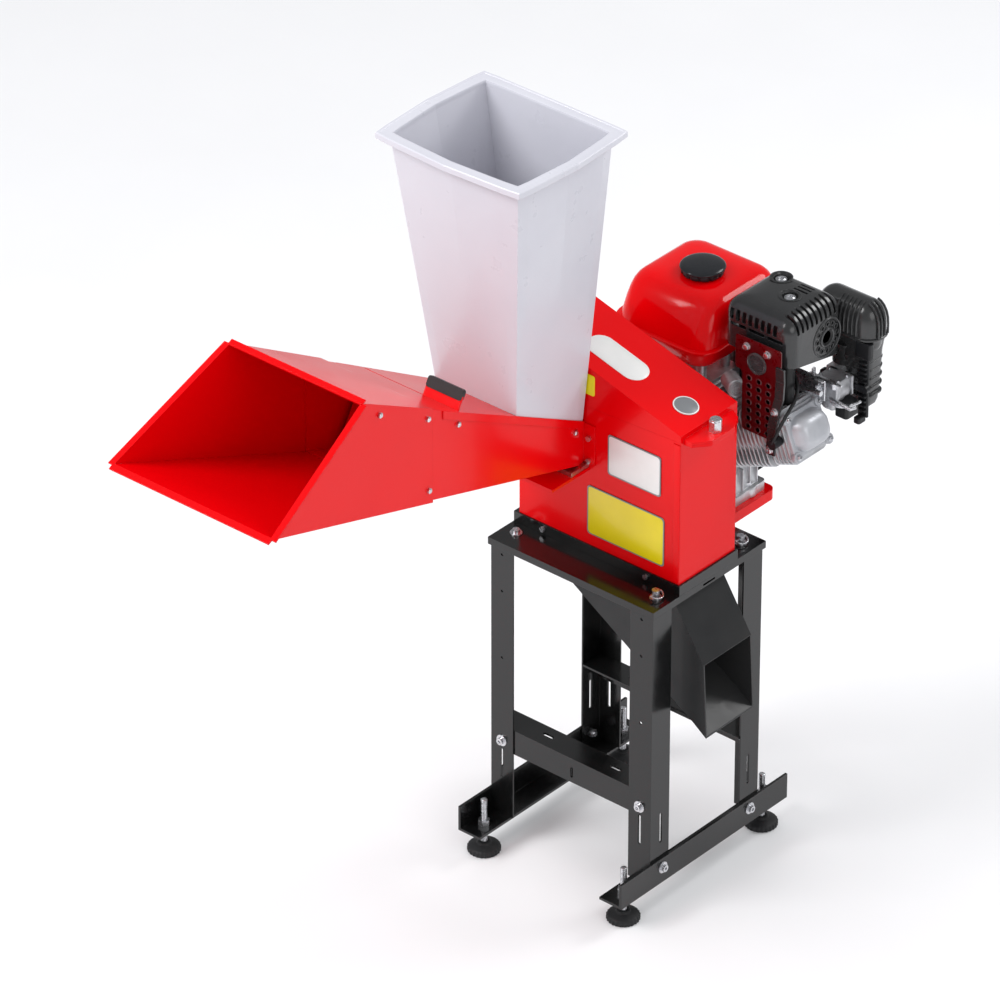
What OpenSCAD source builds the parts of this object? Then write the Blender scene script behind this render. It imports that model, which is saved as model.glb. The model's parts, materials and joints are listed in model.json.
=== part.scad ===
// Wood chipper on a four-legged stand with a single-cylinder engine.
// Millimetres, +Z up. Origin: on the floor, under the middle of the whole machine.
// -Y is the feed side, +Y the engine side, +X the discharge side.

/* [Table] */
// table width along X
table_w = 372; // [340:1:400]
// table front edge
table_y0 = -149; // [-170:1:-130]
// table back edge
table_y1 = 154; // [140:1:180]
// table top height above the floor
table_z = 624; // [560:1:700]
// thickness of the table sheet
table_t = 4; // [2:0.5:6]
// height of the turned-down rim
rim_h = 14; // [8:1:30]

/* [Legs and rails] */
// width of each leg flange
leg_w = 50; // [35:1:60]
// leg sheet thickness
leg_t = 3; // [2:0.5:5]
// base rail flange width
rail_w = 50; // [40:1:60]
// base rail thickness
rail_t = 5; // [3:0.5:6]
// underside of the base rails
rail_z = 50; // [40:1:80]
// half length of the base rails
rail_l = 228; // [200:1:260]
// cross brace flange width
brace_w = 50; // [35:1:60]
// cross brace thickness
brace_t = 4; // [3:0.5:6]
// top edge of the cross braces
brace_z = 240; // [200:1:320]

/* [Feet] */
// foot position left and right of the middle
foot_x = 160; // [140:1:170]
// foot position in front of and behind the middle
foot_y = 190; // [160:1:210]
// foot pad radius
foot_r = 30; // [20:1:40]
// foot pad height
foot_h = 20; // [12:1:30]
// levelling stud radius
stud_r = 6; // [4:0.5:8]
// top of the levelling stud
stud_z = 108; // [90:1:130]

/* [Casing] */
// casing left side
cas_x0 = -176; // [-190:1:-160]
// casing right side
cas_x1 = 182; // [160:1:190]
// casing front face
cas_y0 = -77; // [-90:1:-60]
// casing back face
cas_y1 = 73; // [60:1:90]
// casing bottom
cas_z0 = 644; // [630:1:660]
// split line height at the left
split_zl = 912; // [900:1:950]
// split line height at the right
split_zr = 929; // [915:1:950]
// hood top at the left
hood_zl = 1039; // [1000:1:1080]
// hood top at the right
hood_zr = 942; // [936:1:980]
// casing sheet thickness
cas_t = 3; // [2:0.5:5]

/* [Rotor] */
// rotor and crankshaft axis X
ax = 3; // [-10:1:20]
// rotor and crankshaft axis height
az = 755; // [740:1:790]
// cutting disc radius
disc_r = 148; // [120:1:152]

/* [Feed chute] */
// chute middle plane
ch_x = -98; // [-110:1:-80]
// half width at the casing
ch_hw0 = 68; // [60:1:75]
// half width gained per mm of reach
ch_flare = 0.115; // [0.08:0.005:0.15]
// inlet floor height
ch_zf = 800.7; // [790:0.1:810]
// inlet roof height
ch_zt = 887.7; // [870:0.1:900]
// reach of the lower lip from the casing face
ch_rf = 904.6; // [800:0.1:1000]
// reach of the upper lip from the casing face
ch_rt = 656.4; // [600:0.1:800]
// rise of the floor per mm
ch_sf = 0.3684; // [0.3:0.001:0.45]
// rise of the roof per mm
ch_st = 0.5643; // [0.5:0.001:0.65]
// chute sheet thickness
ch_t = 3; // [2:0.5:4]
// reach where the outer section starts
ch_split = 455; // [420:1:520]
// width of the turned-out lip
lip_w = 12; // [8:1:20]

/* [Hopper] */
// hopper rim height
hop_z = 1479; // [1400:1:1550]
// hopper rim middle X
hop_x = -110; // [-130:1:-90]
// hopper rim half width outside the lip
hop_hx = 159; // [140:1:180]
// hopper rim front edge
hop_y0 = -341; // [-360:1:-320]
// hopper rim back edge
hop_y1 = -62; // [-70:1:-55]
// hopper wall thickness
hop_t = 4; // [3:0.5:6]
// lip overhang
hop_lip = 18; // [12:1:24]
// reach of the hopper bottom from the casing face
hop_rf = 206; // [180:1:230]

/* [Discharge duct] */
// duct front side
du_y0 = -72; // [-80:1:-60]
// duct back side
du_y1 = 57; // [50:1:70]
// outlet reach
du_x1 = 243; // [220:1:280]

/* [Engine] */
// cylinder tilt above horizontal
cyl_tilt = 22; // [15:1:30]
// cylinder middle along Y
cyl_y = 200; // [180:1:220]
// crankcase front face
eng_y0 = 95; // [85:1:110]
// crankcase back face
eng_y1 = 262; // [240:1:280]
// tank left side
tank_x0 = -157; // [-170:1:-140]
// tank right side
tank_x1 = 50; // [40:1:58]
// tank seam height
tank_z = 945; // [920:1:960]
// muffler guard top
guard_z = 1070; // [1040:1:1090]

/* [Moving parts, shown at rest] */
// running clearance on the radius
run_c = 0.05; // [0.02:0.01:0.1]
// gap behind each hand lever
lever_gap = 0.2; // [0.1:0.1:0.5]

/* [Hidden] */

$fn = 48;
e = 0.01;
black = [0.13, 0.14, 0.15];
red = [0.82, 0.06, 0.08];
steel = [0.75, 0.76, 0.78];
alu = [0.8, 0.81, 0.84];
plastic = [0.16, 0.17, 0.18];
white = [0.93, 0.93, 0.95];
yellow = [0.85, 0.8, 0.1];

tx = table_w / 2;
leg_x = tx - table_t;                 // outer face of the legs in X
leg_y0 = table_y0 + table_t;          // outer face of the front legs
leg_y1 = table_y1 - table_t;          // outer face of the back legs
leg_mid = leg_x - leg_w / 2;
bolt_z = brace_z - 29;
slot_w = 6;
slot_h = 56;
tbx = 157;                            // table fastener positions
tby0 = -108;
tby1 = 120;
bolt_hole_r = 5.2;                    // clearance hole of the stand bolts
spare_z = [598, 523, 385];            // heights of the empty holes in the legs
end_hole = 28;                        // side bolts and slots, in from the leg corner
rail_bolt = 32;                       // height of the leg bolts above the rail underside
open_x0 = -150;                       // chip opening through table and base flange
open_x1 = 156;
open_y0 = -62;
open_y1 = 58;
disc_y = -50;                         // front face of the cutting disc
disc_t = 12;
knife_gap = 2;
knife_t = 7;
fan_y1 = 50;                          // rear edge of the throwing paddles
knife_r0 = 46;
knife_r1 = 142;
knife_bolt_r = [62, 96, 130];
fit_c = 0.02;                         // radial gap of parts fixed on a shaft or bolt
shaft_r = 12.5;
hub_r = 26;
inner_x0 = cas_x0 + cas_t;
inner_x1 = cas_x1 - cas_t;
hinge_x = cas_x0 - 8;
hinge_z = split_zl;
hinge_r = 7;
hinge_pin_r = 4;
clamp_x = 204;
clamp_y = -12;
clamp_r = 6;
clamp_z = split_zr;
tab_t = 5;                            // clamp tab thickness
tab_gap = 0.1;                        // gap between the two clamp tabs
seat_gap = 0.05;                      // gap between parts that sit against each other
shelf_z = 794;
shelf_t = 6;
ck_t = 8;                             // counter knife thickness
ck_z = shelf_z + shelf_t;
plate_z = cas_z0;                     // top of the engine base plate
tank_y0 = 145;
tank_y1 = 365;
tank_b = 900;
cap_x = -44;
cap_y = 253;
neck_r = 27;
grd_x0 = 72;                          // muffler guard
grd_x1 = 222;
grd_y0 = 165;
grd_y1 = 308;
grd_b = 948;                          // its lower edge at the back
grd_rise = 28;                        // rise of that edge towards the front
out_y = 264;                          // exhaust outlet
out_z = 998;
guard_bolts = [[112, 274], [162, 236]];
shield_bolt_x = [139, 184];           // heat shield screws
shield_bolt_z = 1000;
air_x0 = 146;                         // air cleaner cover
air_x1 = 279;
air_y0 = 313;
air_y1 = 376;
air_z = 980;                          // its lower edge
air_rib = 3;                          // how far its ribs stand out
elbow_x = 206;                        // intake pipe down to the carburettor
elbow_y = 342;
shroud_r = 110;                       // cooling shroud radius
shroud_y = 292;                       // rear face of the cooling-air housing
carb_y1 = 306;                        // rear face of the carburettor
carb_z = 892;
pivot_r = 3;
thr_x = 100;
thr_z = 866;
sw_x = 148;
sw_z = 852;
chk_x = 240;
fvl_x = 208;
foot_bolt_x = [-78, 84];              // engine foot bolts
foot_bolt_y = [150, 226];
carrier_r = 52;                       // bolt circle of the bearing carrier
carrier_a = [45, 135, 225, 315];
rope_x = ax + 88;                     // starter rope guide
rope_z = az + 35;
flange_bolt_x = ch_x + ch_hw0 + 12.5; // chute flange screws
flange_bolt_z = [815, 860];
base_bolt_x = [-120, 112];            // screws through the base flange
knife_bolt_x = [ch_x - 50, ch_x + 50]; // counter knife bolts

module box(x0, x1, y0, y1, z0, z1) {
  translate([x0, y0, z0]) cube([x1 - x0, y1 - y0, z1 - z0]);
}
module cyly(x, z, r, y0, y1) { translate([x, y0, z]) rotate([-90, 0, 0]) cylinder(r = r, h = y1 - y0); }
module cylx(y, z, r, x0, x1) { translate([x0, y, z]) rotate([0, 90, 0]) cylinder(r = r, h = x1 - x0); }
module cylz(x, y, r, z0, z1) { translate([x, y, z0]) cylinder(r = r, h = z1 - z0); }
module slot_y(x, z0, z1, w, y0, y1) {
  cyly(x, z0, w / 2, y0, y1); cyly(x, z1, w / 2, y0, y1); box(x - w / 2, x + w / 2, y0, y1, z0, z1);
}
module slot_x(y, z0, z1, w, x0, x1) {
  cylx(y, z0, w / 2, x0, x1); cylx(y, z1, w / 2, x0, x1); box(x0, x1, y - w / 2, y + w / 2, z0, z1);
}
module slot_z(x0, x1, y, w, z0, z1) {
  cylz(x0, y, w / 2, z0, z1); cylz(x1, y, w / 2, z0, z1); box(x0, x1, y - w / 2, y + w / 2, z0, z1);
}
// flat-sided profile in the XZ plane, extruded along Y
module prof_xz(p, y0, y1) { translate([0, y1, 0]) rotate([90, 0, 0]) linear_extrude(y1 - y0) polygon(p); }
// flat-sided profile in the YZ plane, extruded along X
module prof_yz(p, x0, x1) {
  translate([x0, 0, 0]) rotate([90, 0, 90]) linear_extrude(x1 - x0) polygon(p);
}
// rounded rectangle from squares and corner circles
module rrect(w, h, r) {
  square([w - 2 * r, h], center = true);
  square([w, h - 2 * r], center = true);
  for (sx = [-1, 1], sy = [-1, 1]) translate([sx * (w / 2 - r), sy * (h / 2 - r)]) circle(r);
}
module rbox(x0, x1, y0, y1, z0, z1, r) {
  translate([(x0 + x1) / 2, (y0 + y1) / 2, z0]) linear_extrude(z1 - z0) rrect(x1 - x0, y1 - y0, r);
}
module hexz(x, y, af, z0, z1) { translate([x, y, z0]) cylinder(r = af / sqrt(3), h = z1 - z0, $fn = 6); }

// ---------------------------------------------------------------- stand
module table_top() color(black) difference() {
  box(-tx, tx, table_y0, table_y1, table_z - rim_h, table_z);
  box(-tx + table_t, tx - table_t, table_y0 + table_t, table_y1 - table_t,
      table_z - rim_h - 1, table_z - table_t);
  box(open_x0, open_x1, open_y0, open_y1, table_z - 10, table_z + 1);
  for (sx = [-1, 1]) for (y = [tby0, tby1]) cylz(sx * tbx, y, bolt_hole_r, table_z - 10, table_z + 1);
  // long slot in the right rim
  for (y = [-14, 14]) cylx(y, table_z - rim_h / 2 - 1, 2, tx - 9, tx + 1);
  box(tx - 9, tx + 1, -14, 14, table_z - rim_h / 2 - 3, table_z - rim_h / 2 + 1);
}

tab = 46;                             // tab that closes each leg under the table
module leg(sx, sy) {
  oy = sy < 0 ? leg_y0 : leg_y1;      // outer face
  ty = sy < 0 ? tby0 : tby1;
  difference() {
    union() {
      intersection() {
        box(-leg_x, leg_x, leg_y0, leg_y1, rail_z + rail_t, table_z - table_t);
        union() {
          translate([sx > 0 ? leg_x - leg_w : -leg_x, sy > 0 ? oy - leg_t : oy, 0])
            cube([leg_w, leg_t, table_z]);
          translate([sx > 0 ? leg_x - leg_t : -leg_x, sy > 0 ? oy - leg_w : oy, 0])
            cube([leg_t, leg_w, table_z]);
        }
      }
      translate([sx > 0 ? leg_x - tab : -leg_x, sy > 0 ? oy - tab : oy, table_z - table_t - leg_t])
        cube([tab, tab, leg_t]);
    }
    cylz(sx * tbx, ty, bolt_hole_r, table_z - 20, table_z);
    for (z = spare_z) cyly(sx * leg_mid, z, 3, oy - 10, oy + 10);
    cyly(sx * leg_mid, bolt_z, bolt_hole_r, oy - 10, oy + 10);
    slot_y(sx * leg_mid, bolt_z - 20 - slot_h, bolt_z - 20, slot_w, oy - 10, oy + 10);
    slot_x(oy - sy * end_hole, bolt_z - 20 - slot_h, bolt_z - 20, slot_w, sx > 0 ? leg_x - 9 : -leg_x - 9,
           sx > 0 ? leg_x + 9 : -leg_x + 9);
    cylx(oy - sy * end_hole, rail_z + rail_bolt, bolt_hole_r, sx > 0 ? leg_x - 9 : -leg_x - 9,
         sx > 0 ? leg_x + 9 : -leg_x + 9);
  }
}
module leg_front_left() color(black) leg(-1, -1);
module leg_front_right() color(black) leg(1, -1);
module leg_back_left() color(black) leg(-1, 1);
module leg_back_right() color(black) leg(1, 1);

module brace(sy) {
  fy = sy < 0 ? leg_y0 + leg_t : leg_y1 - leg_t;   // face against the leg flange
  bx = leg_x - leg_t;
  difference() {
    union() {
      translate([-bx, sy < 0 ? fy : fy - brace_t, brace_z - brace_w]) cube([2 * bx, brace_t, brace_w]);
      translate([-bx, sy < 0 ? fy : fy - brace_w, brace_z - brace_t]) cube([2 * bx, brace_w, brace_t]);
    }
    for (sx = [-1, 1]) {
      cyly(sx * leg_mid, bolt_z, bolt_hole_r, fy - 12, fy + 12);
      slot_z(sx * 77 - 8, sx * 77 + 8, fy - sy * end_hole, 7, brace_z - 10, brace_z + 5);
    }
    slot_y(0, bolt_z - 8, bolt_z + 8, 6, fy - 12, fy + 12);
  }
}
module front_cross_brace() color(black) brace(-1);
module back_cross_brace() color(black) brace(1);

module rail(sx) {
  ox = leg_x + rail_t;
  difference() {
    union() {
      translate([sx > 0 ? leg_x : -ox, -rail_l, rail_z]) cube([rail_t, 2 * rail_l, rail_w]);
      translate([sx > 0 ? ox - rail_w : -ox, -rail_l, rail_z]) cube([rail_w, 2 * rail_l, rail_t]);
    }
    for (sy = [-1, 1]) cylz(sx * foot_x, sy * foot_y, stud_r + 0.5, rail_z - 1, rail_z + rail_t + 1);
    for (y = [leg_y0 + end_hole, leg_y1 - end_hole])
      cylx(y, rail_z + rail_bolt, bolt_hole_r, sx > 0 ? leg_x - 9 : -ox - 9, sx > 0 ? ox + 9 : -ox + 19);
  }
}
module left_base_rail() color(black) rail(-1);
module right_base_rail() color(black) rail(1);

module foot(x, y) translate([x, y, 0]) {
  color(plastic) rotate_extrude()
    polygon([[0, 0], [foot_r - 2, 0], [foot_r, 2], [foot_r, 9], [foot_r - 3, 12], [13, 15], [12, foot_h],
             [0, foot_h]]);
  color(steel) translate([0, 0, foot_h - 1]) cylinder(r = stud_r, h = stud_z - foot_h + 1);
}
module foot_front_left() foot(-foot_x, -foot_y);
module foot_front_right() foot(foot_x, -foot_y);
module foot_back_left() foot(-foot_x, foot_y);
module foot_back_right() foot(foot_x, foot_y);

module foot_nuts() color(steel) for (sx = [-1, 1], sy = [-1, 1])
  for (z = [rail_z - 10, rail_z + rail_t]) difference() {
    hexz(sx * foot_x, sy * foot_y, 19, z, z + 10);
    cylz(sx * foot_x, sy * foot_y, stud_r + run_c, z - 1, z + 11);
  }

wash = 11;
// bolt with washer, socket head and nut, pointing along its own -Z into the joint
module set_bolt(grip) {
  difference() {
    union() {
      cylinder(r = wash, h = 2);
      cylinder(r = 6.5, h = 8);
      translate([0, 0, -grip - 12]) cylinder(r = 5, h = grip + 13);
    }
    translate([0, 0, 4]) cylinder(r = 3, h = 6, $fn = 6);
  }
}
module set_nut(grip) difference() {
  translate([0, 0, -grip - 8]) cylinder(r = 8.6, h = 8, $fn = 6);
  translate([0, 0, -grip - 9]) cylinder(r = 5, h = 10);
}
module bolt_pair(grip) { union() { set_bolt(grip); set_nut(grip); } }
module stand_bolts() color(steel) {
  for (sx = [-1, 1]) {
    translate([sx * leg_mid, leg_y0, bolt_z]) rotate([90, 0, 0]) bolt_pair(leg_t + brace_t);
    translate([sx * leg_mid, leg_y1, bolt_z]) rotate([-90, 0, 0]) bolt_pair(leg_t + brace_t);
    for (y = [leg_y0 + end_hole, leg_y1 - end_hole])
      translate([sx * (leg_x + rail_t), y, rail_z + rail_bolt]) rotate([0, sx * 90, 0])
        bolt_pair(leg_t + rail_t);
  }
  for (y = [tby0, tby1]) translate([-tbx, y, table_z]) bolt_pair(table_t + leg_t);
}

// lynch pins that hold the right side of the table, with a swinging wire ring each
ring_r = 13;
wire_r = 1.5;
ring_z = table_z + 9;
module table_pins() color(steel) for (y = [tby0, tby1]) difference() {
  union() {
    cylz(tbx, y, 5, table_z - 34, table_z + 2);
    cylz(tbx, y, 11, table_z, table_z + 2);
    cylz(tbx, y, 7, table_z + 2, table_z + 16);
  }
  cyly(tbx, ring_z, wire_r + run_c, y - 9, y + 9);
}
module ring_clip(y) color(steel) {
  cyly(tbx, ring_z, wire_r, y - ring_r - 1, y + ring_r + 1);
  translate([tbx, y, ring_z]) rotate([0, 18, 0]) rotate([0, 0, -94])
    rotate_extrude(angle = 188) translate([ring_r, 0]) circle(wire_r, $fn = 16);
}
module ring_clip_front() ring_clip(tby0);
module ring_clip_back() ring_clip(tby1);

// ---------------------------------------------------------------- casing
module base_flange() color(black) difference() {
  box(-tx, tx, cas_y0 - 3, cas_y1 + 4, table_z, cas_z0);
  box(open_x0, open_x1, open_y0, open_y1, table_z - 1, cas_z0 + 1);
  for (x = base_bolt_x) cyly(x, table_z + 10, 3.2, cas_y0 - 4, cas_y0 + 8);
}

du_t = 3;
module discharge_duct() color(black) difference() {
  union() {
    prof_xz([[open_x0, table_z - table_t], [open_x1 + 2, table_z - table_t], [235, 500],
             [du_x1, 353], [214, 374], [open_x0, 602]], du_y0, du_y1);
    box(open_x0 - 10, open_x1 + 14, du_y0 - 8, du_y1 + 8, table_z - table_t - 3, table_z - table_t);
  }
  prof_xz([[open_x0 + du_t, table_z], [open_x1 - 2, table_z], [open_x1 - 1, table_z - 8],
           [du_x1 - 11, 499], [du_x1 + 8, 499], [du_x1 + 8, 352],
           [du_x1 + 1, 356], [214.5, 377.5], [open_x0 + du_t, 606]], du_y0 + du_t, du_y1 - du_t);
}

inlet_w = 2 * ch_hw0 - 2;
module casing() color(red) difference() {
  union() {
    difference() {
      prof_xz([[cas_x0, cas_z0], [cas_x1, cas_z0], [cas_x1, split_zr], [cas_x0, split_zl]],
              cas_y0, cas_y1);
      prof_xz([[inner_x0, cas_z0 - 1], [inner_x1, cas_z0 - 1], [inner_x1, split_zr + 1],
               [inner_x0, split_zr + 1]], cas_y0 + cas_t, cas_y1 - cas_t);
    }
    // clamp tab under the hood tab
    translate([0, 0, clamp_z - tab_t - tab_gap]) linear_extrude(tab_t) clamp_tab(0);
    // hinge knuckles
    for (y = [-62, 10]) difference() {
      union() {
        cyly(hinge_x, hinge_z, hinge_r, y, y + 24);
        box(hinge_x, cas_x0 + 1, y, y + 24, hinge_z - hinge_r, hinge_z - 2);
      }
      cyly(hinge_x, hinge_z, hinge_pin_r, y - 1, y + 25);
      box(hinge_x + hinge_r - 2, cas_x0 - 1 + 4, y - 1, y + 25, hinge_z - 1.5, hinge_z + 9);
    }
  }
  // feed inlet through the front wall
  box(ch_x - inlet_w / 2, ch_x + inlet_w / 2, cas_y0 - 1, cas_y0 + cas_t + 1, ck_z - e, ch_zt - ch_t);
  // crankshaft passage
  cyly(ax, az, 40, cas_y1 - cas_t - 1, cas_y1 + 1);
  cylz(clamp_x, clamp_y, clamp_r + 1.2, clamp_z - tab_t - 1, clamp_z + 1);
  // bolt holes for the bearing carrier
  for (a = carrier_a)
    cyly(ax + carrier_r * cos(a), az + carrier_r * sin(a), 3.6, cas_y1 - cas_t - 1, cas_y1 + 1);
  for (z = flange_bolt_z) cyly(flange_bolt_x, z, 3.2, cas_y0 - 1, cas_y0 + cas_t + 1);
}
module clamp_tab(d) polygon([[cas_x1 - 1 - d, -70], [200, -70], [222, -42], [222, 18],
                             [206, 46], [cas_x1 - 1 - d, 60]]);

hsl = (hood_zl - hood_zr) / (cas_x1 - cas_x0);
module hood() color(red) difference() {
  union() {
    difference() {
      prof_xz([[cas_x0, split_zl], [cas_x1, split_zr], [cas_x1, hood_zr], [cas_x0, hood_zl]],
              cas_y0, cas_y1);
      prof_xz([[inner_x0, split_zl - 5], [inner_x1, split_zr - 5],
               [inner_x1, hood_zr - cas_t], [inner_x0, hood_zl - cas_t - 1]],
              cas_y0 + cas_t, cas_y1 - cas_t);
    }
    translate([0, 0, clamp_z]) linear_extrude(tab_t) clamp_tab(2);
    for (y = [-36, 36]) difference() {
      union() {
        cyly(hinge_x, hinge_z, hinge_r, y - 1, y + 22);
        box(hinge_x, cas_x0 + 1, y - 1, y + 22, hinge_z + 2, hinge_z + hinge_r);
      }
      cyly(hinge_x, hinge_z, hinge_pin_r + run_c, y - 2, y + 23);
    }
  }
  cylz(clamp_x, clamp_y, clamp_r + run_c, clamp_z - 1, clamp_z + tab_t + 1);
}
module hinge_pin() color(steel) {
  cyly(hinge_x, hinge_z, hinge_pin_r, -64, 60);
  cyly(hinge_x, hinge_z, hinge_pin_r + 2, -67, -64);
}
// plain round boss and plain oval plate on the hood top
module hood_badge() {
  ta = atan(hsl);
  module on_top(x, y)
    translate([x, y, hood_zr + (cas_x1 - x) * hsl + seat_gap]) rotate([0, ta, 0]) children();
  color(plastic) on_top(137, -10) cylinder(r = 23, h = 2);
  color(white) on_top(-9, -15) linear_extrude(1) rrect(126, 54, 26);
  color(yellow) box(-52, -8, cas_y0 - 1, cas_y0, 945, 985);
}
module clamp_bolt() color(steel) {
  hexz(clamp_x, clamp_y, 21, clamp_z + tab_t, clamp_z + tab_t + 20);
  cylz(clamp_x, clamp_y, 9.5, clamp_z + tab_t + 20, clamp_z + tab_t + 23);
  cylz(clamp_x, clamp_y, clamp_r, clamp_z - 14, clamp_z + tab_t + 1);
}

module inlet_shelf() color(red) difference() {
  box(ch_x - ch_hw0 - 9, -19, cas_y0 - 98, cas_y0, shelf_z, ck_z);
  for (x = knife_bolt_x) cylz(x, cas_y0 - 30, 4.2, shelf_z - 1, ck_z + 1);
}
module counter_knife() color(steel) difference() {
  union() {
    box(ch_x - ch_hw0 - 8, -20, cas_y0 - 46, cas_y0, ck_z, ck_z + ck_t);
    box(ch_x - inlet_w / 2 + 0.5, ch_x + inlet_w / 2 - 0.5, cas_y0 - 1, disc_y - knife_t - knife_gap,
        ck_z, ck_z + ck_t);
  }
  for (x = knife_bolt_x) cylz(x, cas_y0 - 30, 4.2, ck_z - 1, ck_z + ck_t + 1);
}

// ---------------------------------------------------------------- rotor
module rotor_disc() color(steel) difference() {
  union() {
    cyly(ax, az, disc_r, disc_y, disc_y + disc_t);
    cyly(ax, az, hub_r, disc_y + disc_t - 1, fan_y1);
  }
  cyly(ax, az, shaft_r + fit_c, disc_y - 1, fan_y1 + 1);
  for (a = [90, 270]) translate([ax, 0, az]) rotate([0, -a, 0]) {
    // chip slot through the disc in front of each knife
    box(knife_r0, knife_r1 - 2, disc_y - 1, disc_y + disc_t + 1, -34, -14);
    for (r = knife_bolt_r) cyly(r, 6, 4 + fit_c, disc_y - 1, disc_y + disc_t + 1);
  }
}
module rotor_knives() color(steel) for (a = [90, 270]) translate([ax, 0, az]) rotate([0, -a, 0]) {
  difference() {
    prof_yz([[disc_y, -14], [disc_y, 26], [disc_y - 4, 26], [disc_y - knife_t, 20],
             [disc_y - knife_t, -8]], knife_r0, knife_r1);
    for (r = knife_bolt_r) cyly(r, 6, 4 + fit_c, disc_y - knife_t - 1, disc_y + 1);
  }
  for (r = knife_bolt_r) cyly(r, 6, 4, disc_y - knife_t, disc_y + disc_t + 3);
}
// throwing paddles welded to the back of the disc and to its hub
module rotor_fan() color(steel) for (a = [45:90:359]) translate([ax, 0, az]) rotate([0, -a, 0])
  box(hub_r + 2, disc_r - 8, disc_y + disc_t, fan_y1, -3, 3);

// ---------------------------------------------------------------- feed chute
// d pushes every wall outwards; q0..q1 is the reach covered, measured from the casing face
function hw(q, d) = ch_hw0 + ch_flare * q + d;
function zf(q) = ch_zf + ch_sf * q;
function zt(q) = ch_zt + ch_st * q;
module chute_plan(d, q0, q1) translate([0, 0, 700]) linear_extrude(700)
  polygon([[ch_x - hw(q0, d), cas_y0 - q0], [ch_x + hw(q0, d), cas_y0 - q0],
           [ch_x + hw(q1, d), cas_y0 - q1], [ch_x - hw(q1, d), cas_y0 - q1]]);
kf = sqrt(1 + ch_sf * ch_sf);
kt = sqrt(1 + ch_st * ch_st);
module chute_side(d, q0, q1) prof_yz(
  [[cas_y0 - q0, zf(q0) - d * kf], [cas_y0 - q0, zt(q0) + d * kt],
   [cas_y0 - q1, zt(q1) + d * kt], [cas_y0 - q1, zf(q1) - d * kf]], ch_x - 300, ch_x + 300);
module chute_vol(d, q0, q1) intersection() { chute_plan(d, q0, q1); chute_side(d, q0, q1); }
// everything beyond the mouth plane
module beyond_mouth() prof_yz([[cas_y0 - ch_rf, zf(ch_rf)], [cas_y0 - ch_rt, zt(ch_rt)],
  [cas_y0 - ch_rt + 60, zt(ch_rt) + 200], [cas_y0 - ch_rf - 300, zf(ch_rf) + 300],
  [cas_y0 - ch_rf - 60, zf(ch_rf) - 30]], ch_x - 320, ch_x + 320);

gate_q = 367;                         // reach of the gate slot
ck_q = 46;                            // reach of the counter knife
module chute_inner() color(red) difference() {
  union() {
    intersection() {
      chute_vol(0, 0, ch_split + 40);
      union() {
        prof_yz([[cas_y0, ck_z + ck_t], [cas_y0 - ck_q, ck_z + ck_t], [cas_y0 - ck_q, 600],
                 [-900, 600], [-900, 1400], [cas_y0, 1400]], ch_x - 300, ch_x + 300);
      }
    }
    // folded strip along the top of both side panels
    intersection() {
      difference() { chute_plan(2, 5, ch_split - 32); chute_plan(0, 0, ch_split); }
      prof_yz([[cas_y0 - 5, zt(5)], [cas_y0 - 5, zt(5) - 16], [cas_y0 - ch_split, zt(ch_split) - 16],
               [cas_y0 - ch_split, zt(ch_split)]], ch_x - 300, ch_x + 300);
    }
    // bolting flanges on the casing face
    box(ch_x + ch_hw0 - 2, ch_x + ch_hw0 + 25, cas_y0 - 3, cas_y0, ck_z + ck_t + 1, ch_zt - 1);
    box(cas_x0, ch_x - ch_hw0 + 2, cas_y0 - 3, cas_y0, ck_z + ck_t + 1, ch_zt - 1);
  }
  chute_vol(-ch_t, -1, ch_split + 50);
  // the roof is open under the hopper
  intersection() {
    chute_plan(-ch_t, -1, hop_rf);
    prof_yz([[cas_y0 + 1, zt(0) - 20], [cas_y0 - hop_rf, zt(hop_rf) - 20], [cas_y0 - hop_rf, zt(hop_rf) + 20],
             [cas_y0 + 1, zt(0) + 20]], ch_x - 300, ch_x + 300);
  }
  gate_slot();
  for (z = flange_bolt_z) cyly(flange_bolt_x, z, 3.2, cas_y0 - 4, cas_y0 + 1);
}
gate_w = 206;
gate_a = atan(ch_st);
module at_gate() translate([ch_x, cas_y0 - gate_q, zt(gate_q)]) rotate([-gate_a, 0, 0]) children();
module gate_slot() at_gate() box(-gate_w / 2 - 1, gate_w / 2 + 1, -2.5, 2.5, -12, 12);
gate_d = 144;
gate_h = 24;
gate_tab = 77;
module feed_gate() color(red) at_gate() {
  box(-gate_w / 2, gate_w / 2, -2, 2, -gate_d, -1);
  box(gate_w / 2 - gate_tab, gate_w / 2, -2, 2, -2, gate_h);
}
module gate_grip() color(plastic) at_gate() difference() {
  translate([gate_w / 2 - gate_tab / 2, 4, gate_h + 2]) rotate([90, 0, 0]) linear_extrude(8)
    rrect(gate_tab, 20, 5);
  box(gate_w / 2 - gate_tab - 1, gate_w / 2 + 1, -2, 2, -20, gate_h);
}

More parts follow.
